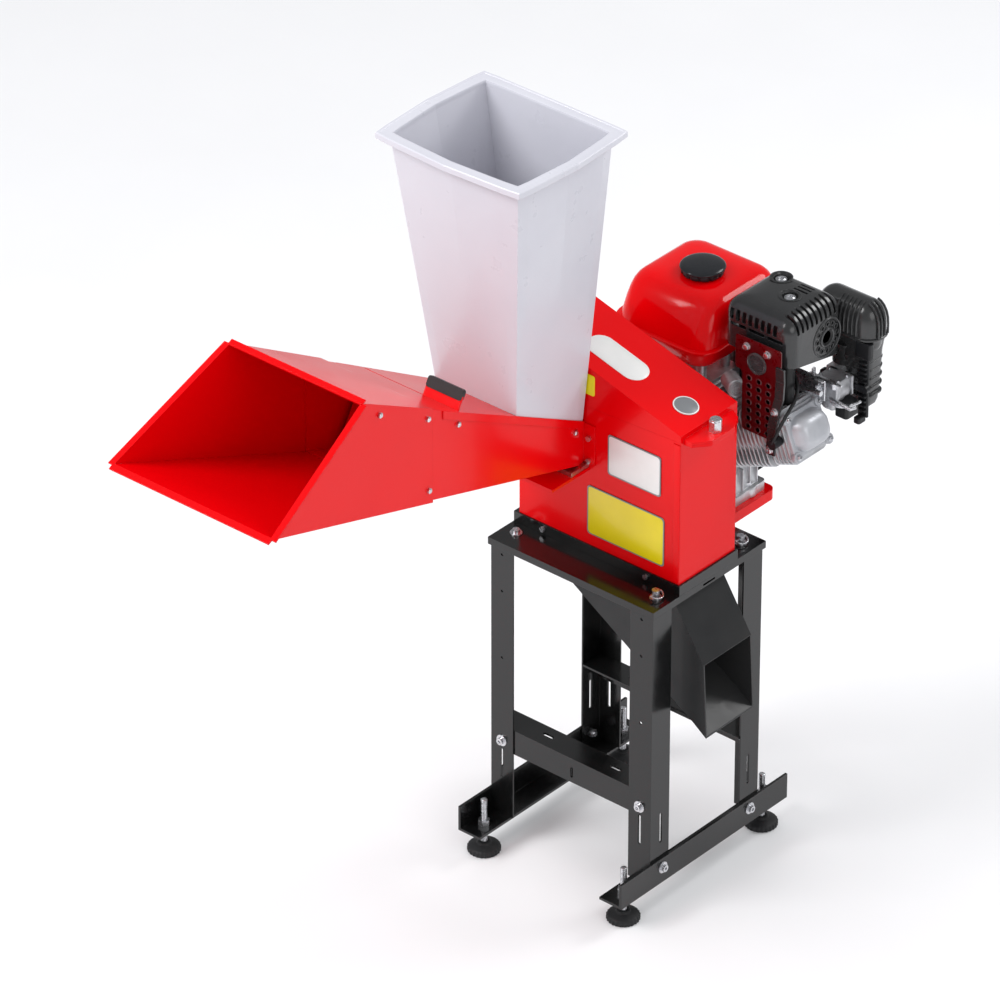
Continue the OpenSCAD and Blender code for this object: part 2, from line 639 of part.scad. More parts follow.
module chute_outer() color(red) {
  difference() {
    chute_vol(ch_t, ch_split, ch_rf + 60);
    chute_vol(seat_gap, ch_split - 1, ch_rf + 200);
    beyond_mouth();
  }
  mouth_lip();
}
mv = sqrt(pow(ch_rf - ch_rt, 2) + pow(zt(ch_rt) - zf(ch_rf), 2));
ma = atan((zt(ch_rt) - zf(ch_rf)) / (ch_rf - ch_rt));
hb = ch_hw0 + ch_flare * ch_rf;
lip_n = 3;                            // weld overlap at the lip corners
ht = ch_hw0 + ch_flare * ch_rt;
module mouth_lip() translate([ch_x, cas_y0 - ch_rf, zf(ch_rf)]) rotate([ma, 0, 0])
  translate([0, 0, -3]) linear_extrude(3) {
    polygon([[-hb - lip_n, -lip_w], [hb + lip_n, -lip_w], [hb + lip_n, 0], [-hb - lip_n, 0]]);
    polygon([[-ht - lip_n, mv], [ht + lip_n, mv], [ht + lip_n, mv + lip_w],
             [-ht - lip_n, mv + lip_w]]);
    for (s = [-1, 1]) polygon([[s * hb, -lip_n], [s * (hb + lip_w), -lip_n],
                               [s * (ht + lip_w), mv + lip_n], [s * ht, mv + lip_n]]);
  }

// ---------------------------------------------------------------- origin
// every sub-part is drawn about the middle of the four feet, then moved so that the
// origin is on the floor, under the middle of the whole machine
org_x = (ch_x - hb - lip_w + air_x1 + air_rib) / 2;
org_y = (cas_y0 - ch_rf - lip_w * cos(ma) + air_y1) / 2;
module placed() translate([-org_x, -org_y, 0]) children();

// ---------------------------------------------------------------- hopper
hop_b = 8;                            // outward crease in the middle of each wall
module ring8(x0, x1, y0, y1, b, by1) polygon([[x0, y0], [(x0 + x1) / 2, y0 - b], [x1, y0],
  [x1 + b, (y0 + y1) / 2], [x1, y1], [(x0 + x1) / 2, y1 + by1], [x0, y1], [x0 - b, (y0 + y1) / 2]]);
hw1 = hop_hx - hop_lip;
hyb = -79.5;                          // upright back wall, clear of the hood
module hop_wall(d) hull() {
  translate([0, 0, hop_z - 12 + (d > 0 ? 1 : 0)]) linear_extrude(1)
    ring8(hop_x - hw1 + d, hop_x + hw1 - d, hop_y0 + hop_lip + d, hyb - d, hop_b, 0);
  multmatrix([[1, 0, 0, 0], [0, 1, 0, 0],
              [0, -ch_st, 1, zt(0) + ch_st * cas_y0 + seat_gap - (d > 0 ? 1 : 0)]])
    linear_extrude(1) polygon([
      [ch_x - hw(hop_rf, -d), cas_y0 - hop_rf + d], [ch_x + hw(hop_rf, -d), cas_y0 - hop_rf + d],
      [ch_x + hw(3, -d), hyb - d], [ch_x - hw(3, -d), hyb - d]]);
}
module hopper() color(white) {
  difference() {
    hop_wall(0);
    hop_wall(hop_t);
  }
  translate([0, 0, hop_z - 12]) difference() {
    linear_extrude(12) ring8(hop_x - hop_hx, hop_x + hop_hx, hop_y0, hop_y1, hop_b, 0);
    translate([0, 0, -1]) linear_extrude(9)
      ring8(hop_x - hop_hx + 3, hop_x + hop_hx - 3, hop_y0 + 3, hop_y1 - 3, hop_b, 0);
    translate([0, 0, 7]) linear_extrude(7)
      ring8(hop_x - hw1 + hop_t, hop_x + hw1 - hop_t, hop_y0 + hop_lip + hop_t, hyb - hop_t, hop_b, 0);
  }
  // outer face of the wall carried up to the lip
  translate([0, 0, hop_z - 12]) linear_extrude(9) difference() {
    ring8(hop_x - hw1, hop_x + hw1, hop_y0 + hop_lip, hyb, hop_b, 0);
    ring8(hop_x - hw1 + hop_t, hop_x + hw1 - hop_t, hop_y0 + hop_lip + hop_t, hyb - hop_t, hop_b, 0);
  }
}

module panel_bolt(sx, q, dz, d) translate([ch_x + sx * hw(q, d), cas_y0 - q, zt(q) - dz])
  rotate([0, 0, sx * atan(ch_flare)]) rotate([0, sx * 90, 0]) {
    cylinder(r = 5, h = 4);
    translate([0, 0, 4]) cylinder(r1 = 5, r2 = 3, h = 1.5);
  }
module housing_bolts() color(steel) {
  for (s = [-1, 1]) {
    for (b = [[606, 16], [470, 17], [468, 156]]) panel_bolt(s, b[0], b[1], ch_t);
    for (b = [[379, 24], [30, 24]]) panel_bolt(s, b[0], b[1], 0);
  }
  for (z = flange_bolt_z) {
    translate([flange_bolt_x, cas_y0 - 3, z]) rotate([90, 0, 0]) cylinder(r = 5, h = 5);
    cyly(flange_bolt_x, z, 3, cas_y0 - 4, cas_y0 + 6);
  }
  for (x = base_bolt_x) {
    cyly(x, table_z + 10, 5, cas_y0 - 7, cas_y0 - 3);
    cyly(x, table_z + 10, 3, cas_y0 - 4, cas_y0 + 7);
  }
  for (x = knife_bolt_x) {
    cylz(x, cas_y0 - 30, 4, shelf_z - 3, ck_z + ck_t);
    hexz(x, cas_y0 - 30, 13, shelf_z - 6, shelf_z);
  }
}
// blank plates in place of the printed labels
module info_plates() {
  color(white) translate([81.5, cas_y0, 844]) rotate([90, 0, 0]) linear_extrude(1) rrect(117, 80, 6);
  color(yellow) translate([63.5, cas_y0, 716]) rotate([90, 0, 0]) linear_extrude(1) rrect(171, 98, 6);
}

// ---------------------------------------------------------------- engine
module engine_base_plate() color(red) difference() {
  rbox(-104, 110, cas_y1 + 4, 275, table_z, plate_z, 14);
  rbox(-101, 107, cas_y1 + 7, 272, table_z - 1, plate_z - 4, 11);
  for (x = foot_bolt_x, y = foot_bolt_y) cylz(x, y, bolt_hole_r, plate_z - 10, plate_z + 1);
}
module crankcase() color(alu) difference() {
  union() {
    // foot of the casting
    rbox(-92, 98, 130, eng_y1, plate_z, plate_z + 18, 8);
    // crank chamber
    cyly(ax, az, 84, eng_y0 + 8, eng_y1);
    box(-62, 68, eng_y0 + 20, eng_y1, plate_z + 10, az);
    // bearing carrier that bolts to the back of the casing
    cyly(ax, az, 62, cas_y1, eng_y0 + 9);
    // top deck under the tank
    box(-100, 34, 150, eng_y1, az + 40, tank_b - 30);
    for (x = [-84, 14], y = [182, 246]) cylz(x, y, 9, tank_b - 31, tank_b);
    // cylinder seat
    translate([ax, cyl_y, az]) rotate([0, -cyl_tilt, 0]) rotate([0, 90, 0])
      translate([0, 0, 60]) linear_extrude(32) square([104, 96], center = true);
  }
  cyly(ax, az, shaft_r + run_c, cas_y1 - 1, eng_y0 + 30);
  cyly(ax, az, 66, eng_y0 + 28, eng_y1 - 20);
  cyly(ax, az, shaft_r + run_c, eng_y1 - 30, eng_y1 + 1);
  for (x = foot_bolt_x, y = foot_bolt_y) cylz(x, y, bolt_hole_r, plate_z - 1, plate_z + 24);
  for (a = carrier_a) cyly(ax + carrier_r * cos(a), az + carrier_r * sin(a), 3.6, cas_y1 - 1, cas_y1 + 14);
}
module at_cyl(d) translate([ax, cyl_y, az]) rotate([0, -cyl_tilt, 0]) translate([d, 0, 0])
  rotate([0, 90, 0]) children();
module cylinder_block() color(alu) at_cyl(92) {
  cylinder(r = 44, h = 106);
  for (i = [0:8]) translate([0, 0, 8 + i * 11]) linear_extrude(3.5) rrect(112, 96, 10);
  translate([0, 0, 104]) linear_extrude(48) rrect(92, 92, 10);
  for (i = [0:3]) translate([0, 0, 108 + i * 11]) linear_extrude(3.5) rrect(104, 96, 10);
}
vc_d = 244;
module valve_cover() color(alu) at_cyl(vc_d) difference() {
  union() {
    linear_extrude(6) rrect(80, 94, 16);
    for (sx = [-1, 1], sy = [-1, 1]) translate([sx * 36, sy * 43, 0]) linear_extrude(10) circle(9);
    linear_extrude(22) rrect(72, 84, 20);
    linear_extrude(34) rrect(62, 74, 18);
  }
}
module muffler() color(steel) {
  difference() {
    rbox(grd_x0 + 14, grd_x1 - 14, grd_y0 + 12, grd_y1 - 12, grd_b + 34, guard_z - 22, 24);
    rbox(grd_x0 + 16, grd_x1 - 16, grd_y0 + 14, grd_y1 - 14, grd_b + 36, guard_z - 24, 22);
  }
  cylx(out_y, out_z, 17, grd_x1 - 15, grd_x1 - 3);
  // exhaust pipe down to the head
  cylz(190, grd_y0 + 34, 13, 876, grd_b + 35);
}
// the guard is an open-bottomed cover with a lower edge that rises towards the front
module muffler_guard() color(plastic) difference() {
  union() {
    rbox(grd_x0, grd_x1, grd_y0, grd_y1, grd_b, guard_z - 14, 20);
    rbox(grd_x0 + 3, grd_x1 - 3, grd_y0 + 3, grd_y1 - 3, guard_z - 15, guard_z - 6, 20);
    rbox(grd_x0 + 9, grd_x1 - 9, grd_y0 + 9, grd_y1 - 9, guard_z - 7, guard_z, 16);
  }
  rbox(grd_x0 + 2.5, grd_x1 - 2.5, grd_y0 + 2.5, grd_y1 - 2.5, grd_b - 1, guard_z - 17, 18);
  prof_yz([[grd_y0 - 1, grd_b - 2], [grd_y1 + 1, grd_b - 2], [grd_y1 + 1, grd_b],
           [grd_y0 - 1, grd_b + grd_rise]], grd_x0 - 1, grd_x1 + 1);
  for (p = guard_bolts) {
    cylz(p[0], p[1], 13, guard_z - 9, guard_z + 1);
    cylz(p[0], p[1], 4.2, guard_z - 20, guard_z + 1);
  }
  // top louvres
  for (i = [0:8]) box(grd_x1 - 38, grd_x1 - 9, grd_y0 + 22 + i * 12, grd_y0 + 27 + i * 12,
                      guard_z - 18, guard_z + 1);
  for (i = [0:2]) box(150, 180, grd_y1 - 50 + i * 10, grd_y1 - 46 + i * 10, guard_z - 18, guard_z + 1);
  // outlet and its ring of holes
  cylx(out_y, out_z, 18, grd_x1 - 6, grd_x1 + 1);
  for (a = [0:30:359])
    cylx(out_y + 25 * cos(a), out_z + 25 * sin(a), 3.2, grd_x1 - 6, grd_x1 + 1);
  // front louvres
  for (i = [0:6]) box(grd_x0 + 22 + i * 16, grd_x0 + 32 + i * 16, grd_y0 - 1, grd_y0 + 4,
                      guard_z - 40, guard_z - 24);
}
hs_y = cyl_y - 48;                    // front of the cylinder and heat shield
hole_dx = 21;                         // spacing of the heat shield's holes
hole_dz = 17;
module heat_shield() color(red) difference() {
  union() {
    box(130, 202, hs_y - 2, hs_y, 833, 950);
    box(114, 214, hs_y - 2, hs_y, 949, 1016);
    box(114, 214, hs_y - 2, grd_y0, 1012, 1016);
  }
  for (i = [0:6], j = [0:2])
    cyly(144 + j * hole_dx, 846 + i * hole_dz, 3.6, hs_y - 3, hs_y + 1);
  for (x = shield_bolt_x) cyly(x, shield_bolt_z, 3.2, hs_y - 3, hs_y + 1);
}
module air_cleaner() color(plastic) difference() {
  union() {
    rbox(air_x0 + 6, air_x1 - 6, air_y0 + 5, air_y1 - 5, air_z - 16, air_z, 18);
    cylz(elbow_x, elbow_y, 22, carb_z + 22, air_z - 15);
    cylz(elbow_x, elbow_y, 25, carb_z + 22, carb_z + 36);
  }
  cylz(elbow_x, elbow_y, 18, carb_z + 21, air_z + 1);
}
module air_cleaner_cover() color(plastic) difference() {
  union() {
    rbox(air_x0, air_x1, air_y0, air_y1, air_z, air_z + 50, 26);
    rbox(air_x0 + 6, air_x1 - 6, air_y0 + 6, air_y1 - 6, air_z + 49, air_z + 62, 22);
    rbox(air_x0 + 16, air_x1 - 16, air_y0 + 15, air_y1 - 15, air_z + 61, air_z + 69, 14);
    for (i = [0:3]) box(air_x1 - 2, air_x1 + air_rib, air_y0 + 17 + i * 9, air_y0 + 21 + i * 9,
                        air_z + 2, air_z + 42);
  }
  rbox(air_x0 + 3, air_x1 - 3, air_y0 + 3, air_y1 - 3, air_z - 1, air_z + 47, 23);
  rbox(air_x0 + 9, air_x1 - 9, air_y0 + 9, air_y1 - 9, air_z + 41, air_z + 59, 19);
}
module carburettor() color(alu) {
  rbox(196, 252, 258, carb_y1, carb_z - 12, carb_z + 22, 8);
  cylz(elbow_x, elbow_y, 21.5, carb_z + 10, carb_z + 22);
  box(elbow_x - 14, elbow_x + 14, carb_y1 - 6, elbow_y, carb_z + 10, carb_z + 22);
  cylz(224, 282, 20, carb_z - 36, carb_z - 11);
  cyly(210, carb_z, 14, 253, 259);
}
module fuel_tank() color(red) difference() {
  union() {
    rbox(tank_x0, tank_x1, tank_y0, tank_y1, tank_z - 1.5, tank_z + 1.5, 26);
    rbox(tank_x0 + 9, tank_x1 - 9, tank_y0 + 9, tank_y1 - 9, tank_z - 30, tank_z, 24);
    rbox(tank_x0 + 20, tank_x1 - 20, tank_y0 + 20, tank_y1 - 20, tank_b, tank_z - 29, 20);
    rbox(tank_x0 + 8, tank_x1 - 8, tank_y0 + 8, tank_y1 - 8, tank_z, tank_z + 52, 26);
    rbox(tank_x0 + 12, tank_x1 - 12, tank_y0 + 16, tank_y1 - 12, tank_z + 51, tank_z + 68, 26);
    rbox(tank_x0 + 22, tank_x1 - 22, tank_y0 + 30, tank_y1 - 22, tank_z + 67, tank_z + 80, 24);
    cylz(cap_x, cap_y, neck_r, tank_z + 79, tank_z + 92);
  }
  rbox(tank_x0 + 12, tank_x1 - 12, tank_y0 + 12, tank_y1 - 12, tank_z - 27, tank_z + 49, 23);
  rbox(tank_x0 + 24, tank_x1 - 24, tank_y0 + 24, tank_y1 - 24, tank_b + 3, tank_z - 26, 17);
  rbox(tank_x0 + 25, tank_x1 - 25, tank_y0 + 33, tank_y1 - 25, tank_z + 48, tank_z + 77, 20);
  cylz(cap_x, cap_y, neck_r - 4, tank_z + 70, tank_z + 93);
}
module fuel_cap() color(plastic) translate([cap_x, cap_y, 0]) difference() {
  union() {
    translate([0, 0, tank_z + 81]) linear_extrude(16) union() {
      circle(37);
      for (a = [0:30:359]) rotate(a) translate([36, 0]) circle(4, $fn = 20);
    }
    translate([0, 0, tank_z + 97]) linear_extrude(4) circle(39);
    translate([0, 0, tank_z + 101]) linear_extrude(4) circle(31);
  }
  translate([0, 0, tank_z + 80]) linear_extrude(13) circle(neck_r + run_c);
}
module fan_shroud() color(plastic) difference() {
  union() {
    cyly(ax, az, shroud_r, eng_y1, 322);
    box(20, 172, eng_y1, 292, 790, 892);
  }
  cyly(ax, az, shroud_r - 4, eng_y1 + 3, 323);
  cyly(ax, az, 60, eng_y1 - 1, eng_y1 + 4);
  box(24, 168, eng_y1 - 1, 288, 794, 888);
}
module recoil_cover() color(plastic) difference() {
  union() {
    cyly(ax, az, shroud_r, 322, 332);
    cyly(ax, az, 84, 331, 350);
    box(ax + 70, ax + 106, 331, 350, az + 20, az + 50);
  }
  cyly(ax, az, 78, 321, 346);
  for (a = [0:30:359]) translate([ax, 0, az]) rotate([0, a, 0]) box(84, 104, 320, 334, -4, 4);
  // rope guide
  cyly(rope_x, rope_z, 2.5 + run_c, 320, 351);
}
module starter_grip() color(plastic) {
  cyly(rope_x, rope_z, 2.5, 324, 352);
  translate([rope_x, 366, rope_z]) rotate([90, 0, 0]) linear_extrude(15) rrect(18, 56, 8);
}
module crankshaft() color(steel) {
  cyly(ax, az, shaft_r, disc_y - 5, 300);
  cyly(ax, az, 40, eng_y0 + 34, eng_y0 + 50);
  cyly(ax, az, 40, 300, 312);
  cyly(ax, az, 22, disc_y - 7, disc_y);
}
module flywheel() color(alu) difference() {
  union() {
    cyly(ax, az, 96, 284, 300);
    cyly(ax, az, 34, 272, 285);
    for (a = [0:20:359]) translate([ax, 0, az]) rotate([0, a, 0]) box(50, 94, 272, 285, -2, 2);
  }
  cyly(ax, az, shaft_r + fit_c, 271, 301);
}
// flat lever on a pivot along Y: pivot x and z, first face y, reach, angle up from +X
module lever(px, pz, y, reach, a) difference() {
  translate([px, y, pz]) rotate([0, -a, 0]) {
    cyly(0, 0, 8, 0, 4);
    box(0, reach, 0, 4, -5, 5);
    cyly(reach, 0, 7, 0, 9);
  }
  cyly(px, pz, pivot_r + run_c, y - 1, y + 10);
}
module throttle_lever() color(plastic) lever(thr_x, thr_z, shroud_y + lever_gap, 44, 80);
module choke_lever() color(plastic) lever(chk_x, carb_z, carb_y1 + lever_gap, 32, 0);
module fuel_valve_lever() color(plastic) lever(fvl_x, carb_z, carb_y1 + lever_gap, 26, 180);
module engine_switch() color(red) difference() {
  union() {
    cyly(sw_x, sw_z, 12, shroud_y + lever_gap, shroud_y + 8);
    box(sw_x - 3, sw_x + 3, shroud_y + 7, shroud_y + 14, sw_z - 11, sw_z + 11);
  }
  cyly(sw_x, sw_z, pivot_r + run_c, shroud_y, shroud_y + 6);
}
module spark_plug_cap() color(plastic) at_cyl(0) {
  translate([0, -70, 226]) rotate([-90, 0, 0]) linear_extrude(22) circle(9);
}
module engine_bolts() color(steel) {
  for (x = foot_bolt_x, y = foot_bolt_y) {
    hexz(x, y, 16, plate_z + 18, plate_z + 26);
    cylz(x, y, 5, plate_z - 8, plate_z + 19);
  }
  for (p = guard_bolts)
    cylz(p[0], p[1], 10, guard_z - 9, guard_z - 3);
  for (x = shield_bolt_x) cyly(x, shield_bolt_z, 6, hs_y - 6, hs_y - 2);
  // bearing carrier to casing
  for (a = carrier_a) {
    cyly(ax + carrier_r * cos(a), az + carrier_r * sin(a), 3.4, cas_y1 - cas_t - 1, cas_y1 + 12);
    cyly(ax + carrier_r * cos(a), az + carrier_r * sin(a), 6, cas_y1 - cas_t - 6, cas_y1 - cas_t);
  }
  // lever pivots
  lever_screw(thr_x, thr_z, shroud_y, 4 + 2 * lever_gap);
  lever_screw(chk_x, carb_z, carb_y1, 4 + 2 * lever_gap);
  lever_screw(fvl_x, carb_z, carb_y1, 4 + 2 * lever_gap);
  cyly(sw_x, sw_z, pivot_r, shroud_y, shroud_y + 5.5);
}
module lever_screw(px, pz, y, len) {
  cyly(px, pz, pivot_r, y, y + len);
  cyly(px, pz, 5.5, y + len, y + len + 3);
}

placed() table_top();
placed() leg_front_left();
placed() leg_front_right();
placed() leg_back_left();
placed() leg_back_right();
placed() front_cross_brace();
placed() back_cross_brace();
placed() left_base_rail();
placed() right_base_rail();
placed() foot_front_left();
placed() foot_front_right();
placed() foot_back_left();
placed() foot_back_right();
placed() foot_nuts();
placed() stand_bolts();
placed() table_pins();
placed() ring_clip_front();
placed() ring_clip_back();
placed() base_flange();
placed() discharge_duct();
placed() casing();
placed() hood();
placed() hinge_pin();
placed() hood_badge();
placed() clamp_bolt();
placed() inlet_shelf();
placed() counter_knife();
placed() rotor_disc();
placed() rotor_knives();
placed() rotor_fan();
placed() chute_inner();
placed() chute_outer();
placed() feed_gate();
placed() gate_grip();
placed() hopper();
placed() housing_bolts();
placed() info_plates();
placed() engine_base_plate();
placed() crankcase();
placed() cylinder_block();
placed() valve_cover();
placed() muffler();
placed() muffler_guard();
placed() heat_shield();
placed() air_cleaner();
placed() air_cleaner_cover();
placed() carburettor();
placed() fuel_tank();
placed() fuel_cap();
placed() fan_shroud();
placed() recoil_cover();
placed() starter_grip();
placed() crankshaft();
placed() throttle_lever();
placed() flywheel();
placed() choke_lever();
placed() fuel_valve_lever();
placed() engine_switch();
placed() spark_plug_cap();
placed() engine_bolts();
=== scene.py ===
import json
import math

import bmesh
import bpy
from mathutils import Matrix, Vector


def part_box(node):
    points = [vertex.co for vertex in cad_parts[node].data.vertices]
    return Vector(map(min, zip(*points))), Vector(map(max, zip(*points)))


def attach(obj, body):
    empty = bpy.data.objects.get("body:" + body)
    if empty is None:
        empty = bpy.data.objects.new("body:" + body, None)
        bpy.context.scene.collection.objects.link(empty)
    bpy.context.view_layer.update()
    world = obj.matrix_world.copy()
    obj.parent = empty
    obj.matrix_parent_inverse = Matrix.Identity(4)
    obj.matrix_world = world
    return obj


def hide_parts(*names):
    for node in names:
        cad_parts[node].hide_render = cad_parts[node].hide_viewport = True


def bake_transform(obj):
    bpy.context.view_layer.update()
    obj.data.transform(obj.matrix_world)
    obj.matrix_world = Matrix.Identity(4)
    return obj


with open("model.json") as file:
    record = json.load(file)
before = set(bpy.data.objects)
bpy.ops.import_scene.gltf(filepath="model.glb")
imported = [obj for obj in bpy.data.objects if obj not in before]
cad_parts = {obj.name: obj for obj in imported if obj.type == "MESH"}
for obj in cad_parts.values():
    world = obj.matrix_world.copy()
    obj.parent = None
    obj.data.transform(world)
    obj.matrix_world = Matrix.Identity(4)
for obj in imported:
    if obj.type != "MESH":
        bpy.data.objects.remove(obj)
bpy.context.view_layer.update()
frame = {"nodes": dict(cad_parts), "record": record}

MM = 0.001

# ------------------------------------------------------------------ materials


class Look:
    """A node material in the making: a Principled surface that details are added to."""

    def __init__(self, name, color, rough, metal=0.0, coat=0.0):
        self.mat = bpy.data.materials.new(name)
        self.mat.use_nodes = True
        self.tree = self.mat.node_tree
        self.surface = self.tree.nodes["Principled BSDF"]
        self.put("Roughness", rough)
        self.put("Metallic", metal)
        self.put("Coat Weight", coat)
        self.put("Coat Roughness", 0.06)
        self.put("Base Color", (*color, 1.0))
        self.where = self.tree.nodes.new("ShaderNodeTexCoord").outputs["Object"]
        self.normal = None

    def put(self, socket, value):
        self.surface.inputs[socket].default_value = value

    def node(self, kind, **inputs):
        made = self.tree.nodes.new("ShaderNode" + kind)
        for name, value in inputs.items():
            socket = made.inputs[name.replace("_", " ")]
            if hasattr(value, "is_output"):
                self.tree.links.new(value, socket)
            else:
                socket.default_value = value
        return made

    def noise(self, scale, detail=4.0, rough=0.55):
        return self.node("TexNoise", Vector=self.where, Scale=scale, Detail=detail, Roughness=rough).outputs["Fac"]

    def ramp(self, fac, low, high, a, b):
        made = self.node("MapRange", Value=fac)
        for name, value in (("From Min", low), ("From Max", high), ("To Min", a), ("To Max", b)):
            made.inputs[name].default_value = value
        return made.outputs["Result"]

    def mix(self, fac, a, b):
        made = self.tree.nodes.new("ShaderNodeMix")
        made.data_type = "RGBA"
        for index, value in ((0, fac), (6, a), (7, b)):
            if hasattr(value, "is_output"):
                self.tree.links.new(value, made.inputs[index])
            else:
                made.inputs[index].default_value = value
        return made.outputs[2]

    def tint(self, color, other, scale, low=0.35, high=0.7):
        """Slow colour change between two shades."""
        fac = self.ramp(self.noise(scale), low, high, 0.0, 1.0)
        out = self.mix(fac, (*color, 1.0), (*other, 1.0))
        self.tree.links.new(out, self.surface.inputs["Base Color"])
        self.color = out
        return self

    def vary_rough(self, low, high, scale):
        out = self.ramp(self.noise(scale, 6.0), 0.3, 0.7, low, high)
        self.tree.links.new(out, self.surface.inputs["Roughness"])
        return self

    def round_edges(self, radius):
        """Shades every sharp edge as if it had a small radius."""
        made = self.node("Bevel", Radius=radius)
        made.samples = 4
        self.normal = made.outputs["Normal"]
        self.tree.links.new(self.normal, self.surface.inputs["Normal"])
        return self

    def painted_edge_tone(self, color, share, scale=90.0, rough=None):
        """Paints a colour along the sharp edges, broken up by noise: on the black coats a lighter colour, a painted
        highlight along the edges; on the red paint a darker red.
        """
        flat = self.node("NewGeometry").outputs["Normal"]
        dot = self.tree.nodes.new("ShaderNodeVectorMath")
        dot.operation = "DOT_PRODUCT"
        self.tree.links.new(self.normal, dot.inputs[0])
        self.tree.links.new(flat, dot.inputs[1])
        edge = self.ramp(dot.outputs["Value"], 0.995, 0.9, 0.0, 1.0)
        spots = self.ramp(self.noise(scale, 8.0), 0.52, 0.62, 0.0, share)
        both = self.tree.nodes.new("ShaderNodeMath")
        both.operation = "MULTIPLY"
        both.use_clamp = True
        self.tree.links.new(edge, both.inputs[0])
        self.tree.links.new(spots, both.inputs[1])
        out = self.mix(both.outputs[0], self.color, (*color, 1.0))
        self.tree.links.new(out, self.surface.inputs["Base Color"])
        return self

    def bump(self, scale, height, detail=3.0):
        """Fine surface relief, height in metres."""
        made = self.node("Bump", Height=self.noise(scale, detail), Distance=height, Strength=1.0)
        if self.normal:
            self.tree.links.new(self.normal, made.inputs["Normal"])
        self.normal = made.outputs["Normal"]
        self.tree.links.new(self.normal, self.surface.inputs["Normal"])
        return self


def red_paint():
    look = Look("gloss_red", (0.75, 0.0, 0.002), 0.24, coat=0.07)
    look.put("Specular IOR Level", 0.13)
    look.tint((0.74, 0.0, 0.002), (0.68, 0.0, 0.002), 1.5).vary_rough(0.2, 0.26, 14.0)
    # Edges painted a darker red, broken up by noise.
    look.round_edges(1.4 * MM).painted_edge_tone((0.4, 0.0, 0.002), 0.4)
    return look.bump(900.0, 0.004 * MM).mat


def tank_paint():
    look = Look("tank_red", (0.78, 0.0, 0.002), 0.14, coat=0.2)
    look.put("Specular IOR Level", 0.18)
    look.tint((0.78, 0.0, 0.002), (0.73, 0.0, 0.002), 2.0).vary_rough(0.1, 0.14, 12.0)
    return look.bump(300.0, 0.008 * MM).mat


def black_coat(name, shade, rough, edge=0.08, shine=0.3):
    look = Look(name, (shade,) * 3, rough, coat=0.06)
    look.put("Specular IOR Level", shine)
    look.tint((shade, shade * 1.05, shade * 1.12), (shade * 1.6,) * 3, 7.0).vary_rough(rough - 0.04, rough + 0.06, 30.0)
    # The lighter edge colour is a painted highlight along the edges, broken up by noise.
    look.round_edges(0.9 * MM).painted_edge_tone((edge, edge, edge * 1.05), 0.6)
    return look.bump(1500.0, 0.02 * MM).mat


def zinc():
    look = Look("zinc", (0.7, 0.7, 0.72), 0.3, metal=1.0)
    look.tint((0.74, 0.75, 0.78), (0.55, 0.55, 0.57), 160.0).vary_rough(0.2, 0.4, 240.0)
    look.round_edges(0.5 * MM)
    return look.bump(1800.0, 0.01 * MM).mat


def machined(name, shade, rough):
    look = Look(name, (shade,) * 3, rough, metal=1.0)
    look.tint((shade,) * 3, (shade * 0.72, shade * 0.7, shade * 0.68), 60.0).vary_rough(rough - 0.08, rough + 0.12, 130.0)
    look.round_edges(0.6 * MM)
    return look.bump(900.0, 0.02 * MM).mat


def cast_aluminium():
    look = Look("cast_aluminium", (0.62, 0.63, 0.65), 0.42, metal=0.85)
    look.tint((0.66, 0.67, 0.69), (0.46, 0.46, 0.48), 30.0).vary_rough(0.34, 0.56, 120.0)
    look.round_edges(1.2 * MM)
    return look.bump(1100.0, 0.06 * MM, 5.0).mat


def moulded(name, color, rough, grain=0.03):
    look = Look(name, color, rough)
    look.put("Specular IOR Level", 0.35)
    lighter = tuple(c * 1.5 for c in color)
    look.tint(color, lighter, 12.0).vary_rough(rough - 0.06, rough + 0.08, 90.0)
    look.round_edges(1.0 * MM)
    return look.bump(2200.0, grain * MM).mat


def milky_plastic():
    look = Look("hopper_white", (0.6, 0.6, 0.66), 0.3, coat=0.1)
    look.tint((0.63, 0.63, 0.685), (0.59, 0.59, 0.65), 4.0).vary_rough(0.26, 0.4, 25.0)
    look.bump(40.0, 0.05 * MM, 2.0)
    through = look.node("BsdfTranslucent", Color=(0.9, 0.9, 0.96, 1.0)).outputs["BSDF"]
    blend = look.tree.nodes.new("ShaderNodeMixShader")
    blend.inputs["Fac"].default_value = 0.06
    look.tree.links.new(look.surface.outputs["BSDF"], blend.inputs[1])
    look.tree.links.new(through, blend.inputs[2])
    look.tree.links.new(blend.outputs["Shader"], look.tree.nodes["Material Output"].inputs["Surface"])
    return look.mat


def label(name, color):
    look = Look(name, color, 0.35, coat=0.2)
    look.tint(color, tuple(c * 0.93 for c in color), 20.0).vary_rough(0.28, 0.42, 60.0)
    return look.bump(700.0, 0.01 * MM).mat


def silver_paint():
    look = Look("valve_silver", (0.5, 0.51, 0.54), 0.4, metal=0.35)
    look.tint((0.52, 0.53, 0.56), (0.42, 0.43, 0.46), 24.0).vary_rough(0.34, 0.48, 90.0)
    return look.bump(900.0, 0.03 * MM).mat


def shield_paint():
    look = Look("shield_red", (0.1, 0.0, 0.002), 0.3, coat=0.1)
    look.tint((0.11, 0.0, 0.002), (0.06, 0.0, 0.001), 14.0).vary_rough(0.22, 0.4, 80.0)
    look.round_edges(0.8 * MM)
    return look.bump(900.0, 0.01 * MM).mat


